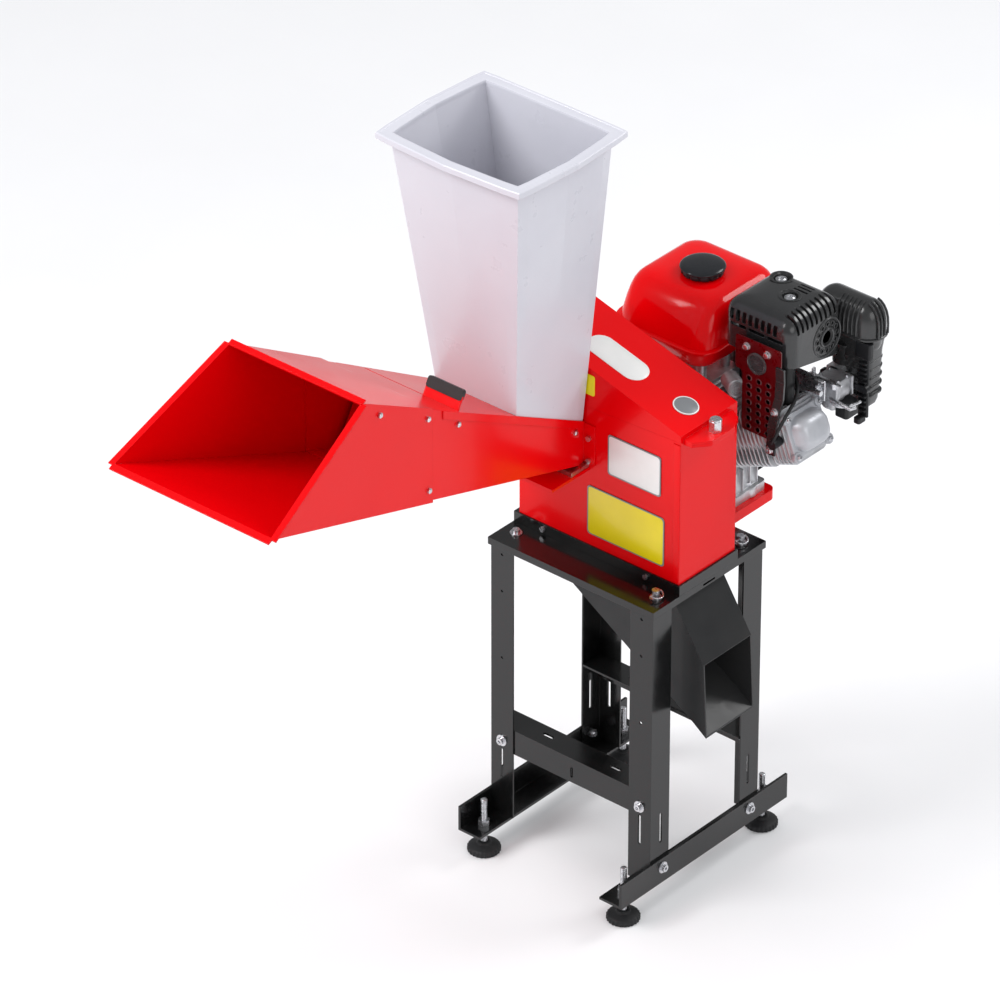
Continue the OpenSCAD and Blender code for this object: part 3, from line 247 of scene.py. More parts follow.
MATS = {
    "gloss_red": red_paint(),
    "painted_black": black_coat("painted_black", 0.004, 0.16, 0.06, 0.5),
    "duct_black": black_coat("duct_black", 0.016, 0.34),
    "rubber": moulded("rubber", (0.011, 0.011, 0.012), 0.55, 0.06),
    "zinc": zinc(),
    "shield_red": shield_paint(),
    "ground_steel": machined("ground_steel", 0.6, 0.3),
    "rotor_steel": machined("rotor_steel", 0.33, 0.42),
    "hopper_white": milky_plastic(),
    "label_blank": label("label_blank", (0.8, 0.8, 0.78)),
    "cast_aluminium": cast_aluminium(),
    "hot_steel": black_coat("hot_steel", 0.01, 0.36),
    "black_plastic": moulded("black_plastic", (0.009, 0.0095, 0.011), 0.4),
    "switch_red": moulded("switch_red", (0.5, 0.01, 0.01), 0.35),
}
TANK = tank_paint()

for part in frame["record"]["subparts"]:
    node = frame["nodes"][part["node"]]
    node.data.materials.clear()
    node.data.materials.append(MATS[part["material_slot"]])

# Guard coats: their light edge colours paint strong highlights along the edges.
MATS["guard"] = black_coat("guard_grey", 0.019, 0.2, 0.16, 0.6)
MATS["guard_edge"] = black_coat("guard_edge", 0.035, 0.2, 0.2, 0.6)
MATS["cap"] = moulded("cap_grey", (0.012, 0.013, 0.015), 0.18, 0.01)
MATS["valve_silver"] = silver_paint()
MATS["rope"] = moulded("rope", (0.03, 0.03, 0.032), 0.8, 0.3)
MATS["label_yellow"] = label("label_yellow", (0.8, 0.66, 0.0))
MATS["badge_grey"] = label("badge_grey", (0.2, 0.21, 0.22))

# ------------------------------------------------------------------ shapes

FEET = [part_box(name) for name in frame["nodes"] if name.startswith("foot_") and name != "foot_nuts"]
HOME = sum(((low + high) / 2 for low, high in FEET), Vector()) / len(FEET)
HOME.z = 0.0


def at(x, y, z):
    """Millimetres from the floor point midway between the feet, as a place in the frame."""
    return HOME + Vector((x, y, z)) * MM


CRANK_X, CRANK_Z = 3.0, 755.0
CASING_RIGHT, CASING_FRONT = 182.0, -77.0
CYLINDER_Y = 200.0
CAP_X, CAP_Y = -44.0, 253.0
TILT = math.radians(22.0)


def on_cylinder(x, y, z):
    """x down and y back across the cylinder, z out along it from the crankshaft."""
    along, up = z, -x
    return at(CRANK_X + along * math.cos(TILT) - up * math.sin(TILT), CYLINDER_Y + y,
              CRANK_Z + along * math.sin(TILT) + up * math.cos(TILT))


def rounded_ring(x0, x1, y0, y1, radius, steps=8):
    """Points round a rectangle with arc corners, anticlockwise."""
    radius = max(0.5, min(radius, (x1 - x0) / 2 - 0.1, (y1 - y0) / 2 - 0.1))
    corners = ((x1 - radius, y1 - radius, 0), (x0 + radius, y1 - radius, 90),
               (x0 + radius, y0 + radius, 180), (x1 - radius, y0 + radius, 270))
    ring = []
    for cx, cy, start in corners:
        for i in range(steps + 1):
            turn = math.radians(start + 90.0 * i / steps)
            ring.append((cx + radius * math.cos(turn), cy + radius * math.sin(turn)))
    return ring


def finish_mesh(name, bm, material, body, nodes=(), sharp=40.0):
    """Turns a bmesh into a piece that rides on a CAD body and may stand for CAD nodes."""
    bmesh.ops.remove_doubles(bm, verts=bm.verts, dist=0.02 * MM)
    bmesh.ops.recalc_face_normals(bm, faces=bm.faces)
    mesh = bpy.data.meshes.new(name)
    bm.to_mesh(mesh)
    bm.free()
    mesh.materials.append(material)
    mesh.shade_smooth()
    mesh.set_sharp_from_angle(angle=math.radians(sharp))
    piece = bpy.data.objects.new(name, mesh)
    bpy.context.scene.collection.objects.link(piece)
    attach(piece, body)
    if nodes:
        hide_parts(*nodes)
    return piece


def add_loft(bm, rings, place=at, cap_low=True, cap_high=True):
    """Skin through rings of (x, y, z), all with the same number of points."""
    rows = [[bm.verts.new(place(*point)) for point in ring] for ring in rings]
    count = len(rows[0])
    for low, high in zip(rows, rows[1:]):
        for i in range(count):
            j = (i + 1) % count
            bm.faces.new((low[i], low[j], high[j], high[i]))
    if cap_low:
        bm.faces.new(rows[0][::-1])
    if cap_high:
        bm.faces.new(rows[-1])
    return rows


def box_rings(x0, x1, y0, y1, radius, profile):
    """Rings of a rounded box whose wall moves in by each profile entry (inset, height, extra inset at y0)."""
    rings = []
    for inset, z, *front in profile:
        low_y = y0 + inset + (front[0] if front else 0)
        flat = rounded_ring(x0 + inset, x1 - inset, low_y, y1 - inset, max(radius - 0.6 * inset, 4.0))
        rings.append([(x, y, z) for x, y in flat])
    return rings


def add_turned(bm, profile, place, count=64, wave=None):
    """Surface turned about the local z axis through profile points (radius, height)."""
    rings = []
    for radius, z in profile:
        ring = []
        for i in range(count):
            turn = 2 * math.pi * i / count
            r = radius + (wave(turn, radius, z) if wave else 0.0)
            ring.append((r * math.cos(turn), r * math.sin(turn), z))
        rings.append(ring)
    add_loft(bm, rings, place)


def along(start, end):
    """A place function whose z runs from one point of the stand frame towards another."""
    start, end = Vector(start), Vector(end)
    turn = (end - start).to_track_quat("Z", "Y").to_matrix()

    def place(x, y, z):
        return at(*(start + turn @ Vector((x, y, z))))
    return place


def add_tube(bm, points, radius, count=12):
    """Round bar or hose through points, with flat ends."""
    points = [Vector(p) for p in points]
    rings = []
    side = None
    for i, point in enumerate(points):
        ahead = points[min(i + 1, len(points) - 1)] - points[max(i - 1, 0)]
        ahead.normalize()
        if side is None:
            side = ahead.orthogonal().normalized()
        side = (side - ahead * side.dot(ahead)).normalized()
        up = ahead.cross(side)
        rings.append([point + (side * math.cos(t) + up * math.sin(t)) * radius
                      for t in (2 * math.pi * k / count for k in range(count))])
    add_loft(bm, [[tuple(p) for p in ring] for ring in rings])


def arc_path(a, b, c, steps=14):
    """Smooth path from a to c pulled towards b."""
    a, b, c = Vector(a), Vector(b), Vector(c)
    return [a * (1 - t) ** 2 + b * 2 * t * (1 - t) + c * t * t for t in (i / steps for i in range(steps + 1))]


def add_bolt(bm, place, radius, height, socket=True):
    """Washer face, domed head and a socket or flat top, standing on the local xy plane."""
    r, h = radius, height
    add_turned(bm, [(r * 1.25, 0), (r * 1.25, h * 0.18), (r, h * 0.24), (r, h * 0.7), (r * 0.86, h * 0.92),
                    (r * 0.6, h)] + ([(r * 0.52, h), (r * 0.5, h * 0.5), (0.2, h * 0.5)] if socket else [(0.2, h)]),
               place, 28)


def carve(piece, cutters):
    """Takes the cutter meshes out of a piece and deletes them."""
    for cutter in cutters:
        step = piece.modifiers.new("cut", "BOOLEAN")
        step.operation = "DIFFERENCE"
        step.solver = "EXACT"
        step.object = cutter
    bpy.context.view_layer.update()
    seen = piece.evaluated_get(bpy.context.evaluated_depsgraph_get())
    mesh = bpy.data.meshes.new_from_object(seen)
    piece.modifiers.clear()
    piece.data = mesh
    for cutter in cutters:
        bpy.data.objects.remove(cutter)
    mesh.shade_smooth()
    mesh.set_sharp_from_angle(angle=math.radians(35.0))
    return piece


def cutter(bm, parent):
    """A bmesh as a temporary object in the same place as the piece that it cuts."""
    bmesh.ops.recalc_face_normals(bm, faces=bm.faces)
    mesh = bpy.data.meshes.new("cutter")
    bm.to_mesh(mesh)
    bm.free()
    made = bpy.data.objects.new("cutter", mesh)
    bpy.context.scene.collection.objects.link(made)
    made.matrix_world = parent.matrix_world
    return made


def add_block(bm, x0, x1, y0, y1, z0, z1, radius=2.0, place=at):
    """Block with rounded corners and softened top and bottom edges."""
    soft = min(1.2, (z1 - z0) / 4)
    add_loft(bm, box_rings(x0, x1, y0, y1, radius, [(soft, z0), (0, z0 + soft), (0, z1 - soft), (soft, z1)]), place)


# ------------------------------------------------------------------ hopper

def hopper():
    """Thin moulded wall with a crease down the middle of each side and a turned-down rim."""
    low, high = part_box("hopper")
    rim_top = high.z / MM
    roof_slope, casing_y, roof_z = 0.5643, -77.0, 887.7
    wall = 4.0
    middle_x = -110.0
    half_top = 141.0
    front_top, back_top, back_low = -323.0, -79.6, -79.6
    front_low, chute_x = -283.0, -98.0
    crease = 8.0

    def outline(t, inset):
        """Wall outline as a share t of the way up, starting at the front left corner."""
        half_front = 91.7 + (half_top - 91.7) * t - inset
        half_back = 68.3 + (half_top - 68.3) * t - inset
        x = chute_x + (middle_x - chute_x) * t
        front = front_low + (front_top - front_low) * t + inset
        back = back_low + (back_top - back_low) * t - inset
        bulge = crease * t
        corners = ((x - half_front, front), (x + half_front, front), (x + half_back, back), (x - half_back, back))
        out = ((0, -bulge), (bulge, 0), (0, 0), (-bulge, 0))
        ring = []
        steps = 10
        for k in range(4):
            a, b, push = Vector(corners[k]), Vector(corners[(k + 1) % 4]), Vector(out[k])
            for i in range(steps):
                s = i / steps
                bow = 1 - abs(2 * s - 1)
                corner = 3.5 * max(0.0, 1 - min(s, 1 - s) * steps) if i == 0 else 0.0
                point = a.lerp(b, s) + push * bow
                if corner:
                    point += (Vector((x, (front + back) / 2)) - point).normalized() * corner * 0.6
                ring.append((point.x, point.y))
        return ring

    def ring_at(t, inset, lift=0.0):
        flat = outline(t, inset)
        top = rim_top - 12.0
        ring = []
        for x, y in flat:
            bottom = roof_z - roof_slope * (y - casing_y) + 0.1
            ring.append((x, y, bottom + (top - bottom) * t + lift))
        return ring

    levels = [i / 24 for i in range(25)]
    lip = 18.0
    rings = [ring_at(t, 0.0) for t in levels]
    rings.append(ring_at(1.0, 0.0, 8.0))
    rings.append(ring_at(1.0, -2.0, 8.8))
    rings.append(ring_at(1.0, -(lip - 3.0), 8.8))
    rings.append(ring_at(1.0, -(lip - 3.0), 1.0))
    rings.append(ring_at(1.0, -(lip - 2.4), 0.1))
    rings.append(ring_at(1.0, -(lip - 0.6), 0.1))
    rings.append(ring_at(1.0, -lip, 1.0))
    rings.append(ring_at(1.0, -lip, 10.6))
    rings.append(ring_at(1.0, -(lip - 1.2), 12.0))
    rings.append(ring_at(1.0, -(lip - 5.0), 12.0))
    rings.append(ring_at(1.0, -(lip - 6.0), 10.8))
    rings.append(ring_at(1.0, 1.0, 10.8))
    rings.append(ring_at(1.0, 3.2, 10.0))
    rings.append(ring_at(1.0, wall, 7.0))
    rings += [ring_at(t, wall) for t in reversed(levels)]
    bm = bmesh.new()
    rows = add_loft(bm, rings, cap_low=False, cap_high=False)
    first, last = rows[0], rows[-1]
    for i in range(len(first)):
        j = (i + 1) % len(first)
        bm.faces.new((last[i], last[j], first[j], first[i]))
    finish_mesh("hopper_shell", bm, MATS["hopper_white"], "machine", ["hopper"], 4.0)


# ------------------------------------------------------------------ engine skins

def fuel_tank():
    """Pressed tank: bowl, seam flange, sloping front and a broad softly rounded top."""
    lower = [(44, 901), (32, 901.5), (24, 904), (19.5, 909), (16, 918), (11, 930), (8.5, 940), (8, 943), (1.5, 943.4),
             (0, 944), (0, 946), (1.5, 946.6), (8, 947)]
    upper = [(8.2, 952, 1), (9, 966, 5), (10, 982, 11), (11.5, 996, 17), (14, 1007, 22), (18, 1014.6, 25),
             (24, 1020.8, 26), (31, 1024.8, 26), (41, 1027.4, 26), (54, 1028.7, 26), (78, 1029.2, 20)]
    bm = bmesh.new()
    add_loft(bm, box_rings(-165.0, 58.0, 137.0, 373.0, 45.0, lower + upper))
    finish_mesh("fuel_tank_skin", bm, TANK, "machine", ["fuel_tank"], 32.0)
    neck = bmesh.new()
    add_turned(neck, [(31, 1026), (31, 1029.6), (29, 1030.4), (26.9, 1031), (26.9, 1037), (24, 1037), (24, 1026)],
               over_cap, 64)
    finish_mesh("filler_neck", neck, MATS["black_plastic"], "machine")


def over_cap(x, y, z):
    """Turned shapes about the filler's axis."""
    return at(CAP_X + x, CAP_Y + y, z)


def fuel_cap():
    def notch(turn, radius, z):
        return -3.2 * max(0.0, math.cos(turn * 12)) ** 3 if 1027 < z < 1040 and radius > 34 else 0.0
    bm = bmesh.new()
    add_turned(bm, [(27.1, 1029.8), (34, 1030), (37, 1031), (38.2, 1032.5), (38.2, 1037.5), (37.4, 1039),
                    (39.6, 1040.5), (40.6, 1042), (40.2, 1043.6), (38, 1045.6), (33, 1047.6), (26, 1049), (16, 1050.4),
                    (6, 1051), (0.2, 1051.1)], over_cap, 144, notch)
    finish_mesh("fuel_cap_skin", bm, MATS["cap"], "cap", ["fuel_cap"], 50.0)


def guard_edge(y):
    """Height of the muffler guard's lower edge, which rises towards the front."""
    return 948.0 + 28.0 * (308.0 - y) / 143.0


def muffler_guard():
    x0, x1, y0, y1 = 72.0, 222.0, 165.0, 308.0
    skin = 2.6
    outer = [(0, 1038), (1.0, 1045), (3.4, 1051.5), (7.5, 1057.5), (13, 1062.2), (20, 1065.8), (29, 1068.2), (42, 1069.6),
             (60, 1070)]
    inner = [(skin, 940), (skin, 1037), (3.8, 1044), (6.4, 1050), (10.5, 1055), (16, 1059), (23, 1062), (42, 1065.4)]
    bm = bmesh.new()
    sides = rounded_ring(x0, x1, y0, y1, 22.0)
    add_loft(bm, [[(x, y, guard_edge(y)) for x, y in sides]] + box_rings(x0, x1, y0, y1, 22.0, outer))
    guard = finish_mesh("muffler_guard_skin", bm, MATS["guard"], "machine", ["muffler_guard"], 35.0)
    hollow = bmesh.new()
    add_loft(hollow, box_rings(x0, x1, y0, y1, 22.0, inner))
    cuts = bmesh.new()
    for i in range(9):
        y = 186.0 + i * 12.4
        add_block(cuts, 193.0, 232.0, y - 3.0, y + 3.0, 1036.0, 1080.0, 2.8)
    for i in range(3):
        y = 260.0 + i * 10.0
        add_block(cuts, 150.0, 181.0, y - 2.4, y + 2.4, 1050.0, 1080.0, 2.2)
    for i in range(8):
        x = 92.0 + i * 13.5
        add_block(cuts, x - 4.4, x + 4.4, 158.0, 175.0, 1030.0, 1050.0, 2.2)
    for x in (90.0, 130.0, 170.0):
        add_block(cuts, x, x + 34.0, 158.0, 175.0, 1019.0, 1025.0, 2.2)
    out_y, out_z = 264.0, 998.0
    add_turned(cuts, [(14, 0), (14, 30)], along((206.0, out_y, out_z), (240.0, out_y, out_z)), 40)
    rims = bmesh.new()
    for i in range(12):
        turn = 2 * math.pi * i / 12
        y, z = out_y + 26 * math.cos(turn), out_z + 26 * math.sin(turn)
        add_turned(cuts, [(3.6, 0), (3.6, 30)], along((206.0, y, z), (240.0, y, z)), 16)
        add_turned(rims, [(3.6, -1), (3.6, 1.0), (4.2, 1.6), (5, 1.3), (5.6, -1)], along((x1, y, z), (240.0, y, z)), 20)
    face = along((x1, out_y, out_z), (240.0, out_y, out_z))
    add_turned(rims, [(14, -1), (14, 2.2), (16, 3.2), (18.4, 2.4), (19, -1)], face, 48)
    add_turned(rims, [(33.4, -1), (33.8, 1.4), (35.4, 2.2), (37, 1.4), (37.6, -1)], face, 64)
    finish_mesh("outlet_rims", rims, MATS["guard_edge"], "machine")
    wells = bmesh.new()
    for x, y in GUARD_BOLTS:
        add_turned(wells, [(12, 1058), (16.5, 1080)], lambda a, b, z, x=x, y=y: at(x + a, y + b, z), 40)
    carve(guard, [cutter(hollow, guard), cutter(cuts, guard), cutter(wells, guard)])
    pans = bmesh.new()
    for x, y in GUARD_BOLTS:
        add_turned(pans, [(2, 1055), (13.5, 1055), (18.4, 1068), (20, 1068.6), (20.6, 1070.6), (18.2, 1071.4),
                          (15.8, 1068.4), (12.2, 1057.6), (2, 1057.6)], lambda a, b, z, x=x, y=y: at(x + a, y + b, z), 48)
    finish_mesh("guard_bolt_wells", pans, MATS["guard"], "machine")
    bolts = bmesh.new()
    for x, y in GUARD_BOLTS:
        add_turned(bolts, [(11.5, 1057.4), (11.5, 1059), (8.2, 1059.4), (8.2, 1067.5), (6.6, 1069), (4, 1069),
                           (3.8, 1064), (0.2, 1064)], lambda a, b, z, x=x, y=y: at(x + a, y + b, z), 36)
    for x in (139.0, 184.0):
        add_bolt(bolts, along((x, 150.0, 1000.0), (x, 100.0, 1000.0)), 6.0, 6.5, False)
    finish_mesh("guard_bolts", bolts, MATS["zinc"], "machine")
    spout = bmesh.new()
    add_turned(spout, [(10, 0), (10, 21), (12, 23.2), (14.6, 24.2), (16.4, 23.4), (15.6, 22.2), (13, 21.4), (12, 0)],
               along((199.0, out_y, out_z), (240.0, out_y, out_z)), 40)
    finish_mesh("exhaust_spout", spout, MATS["hot_steel"], "machine")


GUARD_BOLTS = ((112.0, 274.0), (162.0, 236.0))


def air_cleaner():
    """Ribbed lid on a tray, with a stem down to the carburettor and a ribbed strap."""
    x0, x1, y0, y1, z0 = 146.0, 279.0, 313.0, 376.0, 980.0
    lid = bmesh.new()
    profile = [(3, z0), (0, z0 + 2), (0, z0 + 26), (0.8, z0 + 36), (3, z0 + 46), (7, z0 + 54.5), (12.5, z0 + 60.5),
               (19, z0 + 65), (27, z0 + 68), (30.5, z0 + 68.6)]
    add_loft(lid, box_rings(x0, x1, y0, y1, 30.0, profile))
    for i in range(4):
        y = y0 + 19 + i * 8.6
        reach = [(x1 - 5, y, z0 + 6), (x1 + 1.4, y, z0 + 8), (x1 + 1.6, y, z0 + 26), (x1 + 0.6, y, z0 + 38),
                 (x1 - 2.6, y, z0 + 49), (x1 - 8, y, z0 + 58), (x1 - 15, y, z0 + 64), (x1 - 22, y, z0 + 67)]
        add_tube(lid, reach, 2.1, 10)
    for i in range(6):
        x = x1 - 32 - i * 9.0
        reach = [(x, y0 + 5, z0 + 6), (x, y0 - 1.2, z0 + 8), (x, y0 - 1.4, z0 + 26), (x, y0 - 0.4, z0 + 38),
                 (x, y0 + 2.8, z0 + 49), (x, y0 + 8.2, z0 + 58), (x, y0 + 15, z0 + 64), (x, y0 + 22, z0 + 67)]
        add_tube(lid, reach, 2.1, 10)
    add_loft(lid, box_rings(x0 - 2.5, x1 + 2.5, y0 - 2.5, y1 + 2.5, 31.0,
                            [(2, z0), (0, z0 + 1.5), (0, z0 + 4.5), (2, z0 + 6)]))
    finish_mesh("air_cleaner_lid", lid, MATS["guard"], "machine", ["air_cleaner_cover"], 35.0)
    tray = bmesh.new()
    add_loft(tray, box_rings(x0 + 2, x1 - 2, y0 + 2, y1 - 2, 28.0,
                             [(16, 950), (10, 952), (6, 957), (4, 964), (3, 972), (1, 978), (0, 979.8)]))
    add_turned(tray, [(25, 912), (26, 913), (26, 924), (22.6, 927), (22, 936), (23.6, 946), (27, 954)],
               lambda x, y, z: at(206 + x, 342 + y, z), 40)
    finish_mesh("air_cleaner_tray", tray, MATS["guard"], "machine", ["air_cleaner"], 35.0)
    strap = bmesh.new()
    add_block(strap, 246.0, 268.0, 322.0, 328.0, 826.0, 976.0, 2.5)
    for i in range(11):
        z = 838.0 + i * 9.4
        add_block(strap, 248.0, 266.0, 317.5, 323.0, z, z + 4.2, 2.0)
    add_block(strap, 250.0, 264.0, 306.0, 326.0, 818.0, 830.0, 3.0)
    add_block(strap, 240.0, 274.0, 317.0, 330.0, 944.0, 976.0, 4.0)
    finish_mesh("air_cleaner_strap", strap, MATS["black_plastic"], "machine")


def valve_cover():
    base = 244.0
    bm = bmesh.new()
    flange = [(1.5, base), (0, base + 1), (0, base + 5), (1.2, base + 6.2), (5, base + 6.4)]
    dome = [(4, base + 6.2), (4.6, base + 9), (6, base + 15), (8.4, base + 22), (12, base + 28), (17, base + 32),
            (24, base + 33.8)]
    add_loft(bm, box_rings(-40, 40, -47, 47, 16, flange), on_cylinder)
    add_loft(bm, box_rings(-37, 37, -44, 44, 26, dome), on_cylinder)
    for sx in (-1, 1):
        for sy in (-1, 1):
            add_turned(bm, [(9.5, base), (10, base + 1), (10, base + 8), (9, base + 9.6), (4, base + 10)],
                       lambda x, y, z, sx=sx, sy=sy: on_cylinder(sx * 35 + x, sy * 42 + y, z), 32)
    finish_mesh("valve_cover_skin", bm, MATS["valve_silver"], "machine", ["valve_cover"], 38.0)
    bolts = bmesh.new()
    for sx in (-1, 1):
        for sy in (-1, 1):
            add_bolt(bolts, lambda x, y, z, sx=sx, sy=sy: on_cylinder(sx * 35 + x, sy * 42 + y, base + 10 + z), 4.6, 5.0)
    finish_mesh("valve_cover_bolts", bolts, MATS["zinc"], "machine")


def cylinder():
    """Barrel and head with thin rounded cooling fins."""
    bm = bmesh.new()
    add_turned(bm, [(44, 92), (46, 94), (46, 194), (44, 196)], on_cylinder, 64)
    for z in (64.0, 73.6, 83.2):
        add_loft(bm, box_rings(-59, 59, -50, 50, 16, [(0.9, z), (0, z + 1), (0, z + 2), (0.9, z + 3)]), on_cylinder)
    for i in range(10):
        z = 97.0 + i * 9.6
        add_loft(bm, box_rings(-56, 56, -48, 48, 18, [(0.9, z), (0, z + 1), (0, z + 2), (0.9, z + 3)]), on_cylinder)
    add_loft(bm, box_rings(-45, 45, -45, 45, 12, [(1, 194), (0, 195), (0, 243), (1, 244)]), on_cylinder)
    for i in range(5):
        z = 198.0 + i * 9.6
        add_loft(bm, box_rings(-51, 51, -48, 48, 14, [(0.9, z), (0, z + 1), (0, z + 2.2), (0.9, z + 3.2)]), on_cylinder)
    finish_mesh("cylinder_fins", bm, MATS["cast_aluminium"], "machine", ["cylinder_block"], 40.0)


def starter():
    """Recoil cover with cooling slots, pull handle and the rope between them."""
    axis = along((CRANK_X, 322, CRANK_Z), (CRANK_X, 422, CRANK_Z))
    cover = bmesh.new()
    add_turned(cover, [(0.2, 1), (108.6, 1), (110, 2.4), (110, 7.6), (108.4, 10), (102, 11.4), (96, 12), (92, 14.5),
                       (89.4, 19), (86.4, 24.4), (82, 27.2), (77, 28), (47, 28.4), (45, 27), (42, 27), (40, 28.4),
                       (24, 29.2), (0.2, 29.4)], axis, 96)
    recoil = finish_mesh("recoil_cover_skin", cover, MATS["guard"], "machine", ["recoil_cover"], 35.0)
    slots = bmesh.new()
    for i in range(20):
        turn = 2 * math.pi * i / 20
        c, q = math.cos(turn), math.sin(turn)
        add_block(slots, 51.0, 73.0, -3.2, 3.2, 21.0, 40.0, 3.0,
                  lambda x, y, z, c=c, q=q: axis(x * c - y * q, x * q + y * c, z))
    carve(recoil, [cutter(slots, recoil)])
    eyelet = bmesh.new()
    block = along((ROPE_X, 330, ROPE_Z), (ROPE_X, 430, ROPE_Z))
    add_loft(eyelet, box_rings(-18, 18, -15, 15, 8, [(0, 0), (0, 15), (1.5, 18), (4, 19.4)]), block)
    add_turned(eyelet, [(3.4, 18), (7, 18), (7.4, 20.4), (6, 21.2), (4.2, 20.6), (3.4, 19)], block, 32)
    for turn in (0.5, 2.6, 4.7):
        x, z = CRANK_X + 100 * math.cos(turn), CRANK_Z + 100 * math.sin(turn)
        add_bolt(eyelet, along((x, 333, z), (x, 433, z)), 5.5, 5.0)
    finish_mesh("rope_eyelet", eyelet, MATS["zinc"], "machine")
    handle = bmesh.new()
    rings = []
    for i in range(25):
        t = i / 24 * 2 - 1
        half = 9.0 * (1 - 0.25 * math.cos(t * math.pi) ** 2) * math.sqrt(max(0.02, 1 - abs(t) ** 6))
        deep = 7.4 * math.sqrt(max(0.02, 1 - abs(t) ** 6))
        rings.append([(ROPE_X + half * math.cos(k), 358.6 + deep * math.sin(k), ROPE_Z + 28.0 * t)
                      for k in (2 * math.pi * j / 28 for j in range(28))])
    add_loft(handle, rings)
    finish_mesh("starter_handle", handle, MATS["black_plastic"], "grip", ["starter_grip"], 50.0)
    rope = bmesh.new()
    add_tube(rope, [(ROPE_X, 334.0 + i * 0.5, ROPE_Z) for i in range(41)], 2.4, 14)
    bmesh.ops.recalc_face_normals(rope, faces=rope.faces)
    mesh = bpy.data.meshes.new("starter_rope")
    rope.to_mesh(mesh)
    rope.free()
    mesh.materials.append(MATS["rope"])
    mesh.shade_smooth()
    cord = bpy.data.objects.new("starter_rope", mesh)
    bpy.context.scene.collection.objects.link(cord)
    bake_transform(cord)


ROPE_X, ROPE_Z = CRANK_X + 88.0, CRANK_Z + 35.0


def feet():
    """Ribbed rubber pad and threaded stud of each levelling foot."""
    def rib(turn, radius, z):
        return 0.9 * math.cos(turn * 24) if radius > 29 else 0.0

    def thread(turn, radius, z):
        height = (z / 1.75 - turn / (2 * math.pi)) % 1.0
        return -0.6 * min(1.0, 1.6 * abs(2 * height - 1)) if 22 < z < 106 else 0.0

    for name, body in (("front_left", "foot_fl"), ("front_right", "foot_fr"), ("back_left", "foot_bl"),
                       ("back_right", "foot_br")):
        low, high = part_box("foot_" + name)
        middle = (low + high) / 2 - HOME
        x, y = middle.x / MM, middle.y / MM

        def place(a, b, z, x=x, y=y):
            return at(x + a, y + b, z)
        pad = bmesh.new()
        add_turned(pad, [(0.2, 0), (27.5, 0), (29.4, 1.6), (29.4, 9), (28, 11), (25, 12.6), (16, 14.6), (13.4, 16),
                         (12.4, 18.6), (11, 20), (0.2, 20)], place, 144, rib)
        finish_mesh("pad_" + name, pad, MATS["rubber"], body, ["foot_" + name], 40.0)
        stud = bmesh.new()
        steps = [19.0 + i * 0.35 for i in range(int(88.0 / 0.35))]
        add_turned(stud, [(5.95, z) for z in steps] + [(5.95, 107), (5.0, 108), (0.2, 108)], place, 24, thread)
        finish_mesh("stud_" + name, stud, MATS["zinc"], body, sharp=60.0)


def soften(width, *names):
    """Real rounded edges on CAD sheet parts."""
    for name in names:
        step = frame["nodes"][name].modifiers.new("soft_edges", "BEVEL")
        step.limit_method = "ANGLE"
        step.angle_limit = math.radians(40.0)
        step.width = width * MM
        step.segments = 2
        step.use_clamp_overlap = True
        step.harden_normals = False


def heat_shield():
    """Perforated plate with a round mesh window, and the ribbed hose beside it."""
    def front(x, y, z):
        return at(x, 152.0 - z, y)
    outline = [(133, 833), (199, 833), (202, 836), (202, 944), (205, 949), (211, 951), (214, 954), (214, 1013),
               (211, 1016), (117, 1016), (114, 1013), (114, 954), (117, 951), (127, 949), (130, 944), (130, 836)]
    plate = bmesh.new()
    add_loft(plate, [[(x, y, z) for x, y in outline] for z in (0.0, 2.0)], front)
    shield = finish_mesh("heat_shield_skin", plate, MATS["shield_red"], "machine", ["heat_shield"], 35.0)
    cuts = bmesh.new()
    rims = bmesh.new()
    for i in range(7):
        for j in range(3):
            x, z = 145.0 + 21.0 * j, 843.0 + 16.0 * i
            centre = (lambda a, b, c, x=x, z=z: front(x + a, z + b, c))
            add_turned(cuts, [(4.4, -4), (4.4, 6)], centre, 24)
            add_turned(rims, [(4.4, 1.6), (4.4, 3.0), (5.0, 3.4), (5.9, 2.8), (6.6, 1.6)], centre, 24)
    mesh_x, mesh_z, mesh_r = 161.0, 973.0, 17.0
    window = (lambda a, b, c: front(mesh_x + a, mesh_z + b, c))
    add_turned(cuts, [(mesh_r, -4), (mesh_r, 6)], window, 48)
    carve(shield, [cutter(cuts, shield)])
    finish_mesh("shield_rims", rims, MATS["shield_red"], "machine")
    grid = bmesh.new()
    add_turned(grid, [(mesh_r - 1, 0.4), (mesh_r - 1, 3.4), (mesh_r + 1, 4.2), (mesh_r + 3.4, 3.4), (mesh_r + 4, 1.8)],
               window, 48)
    for i in range(-3, 4):
        away = i * 4.6
        half = math.sqrt(mesh_r ** 2 - away ** 2)
        add_block(grid, away - 0.9, away + 0.9, -half, half, 0.2, 1.4, 0.5, window)
        add_block(grid, -half, half, away - 0.9, away + 0.9, 1.0, 2.2, 0.5, window)
    finish_mesh("shield_mesh_window", grid, MATS["guard_edge"], "machine")
    hose = bmesh.new()
    profile = []
    for i in range(9):
        base = i * 6.0
        profile += [(13.0, base), (16.5, base + 1.4), (16.5, base + 3.2), (13.0, base + 4.6)]
    for radius in (11.0, 7.5, 4.0):
        profile += [(radius + 1.4, 50.0), (radius + 1.0, 53.0), (radius - 0.6, 53.0), (radius - 1.0, 50.0)]
    add_turned(hose, profile, along((66, 196, 884), (116, 158, 897)), 40)
    finish_mesh("ribbed_hose", hose, MATS["cast_aluminium"], "machine")


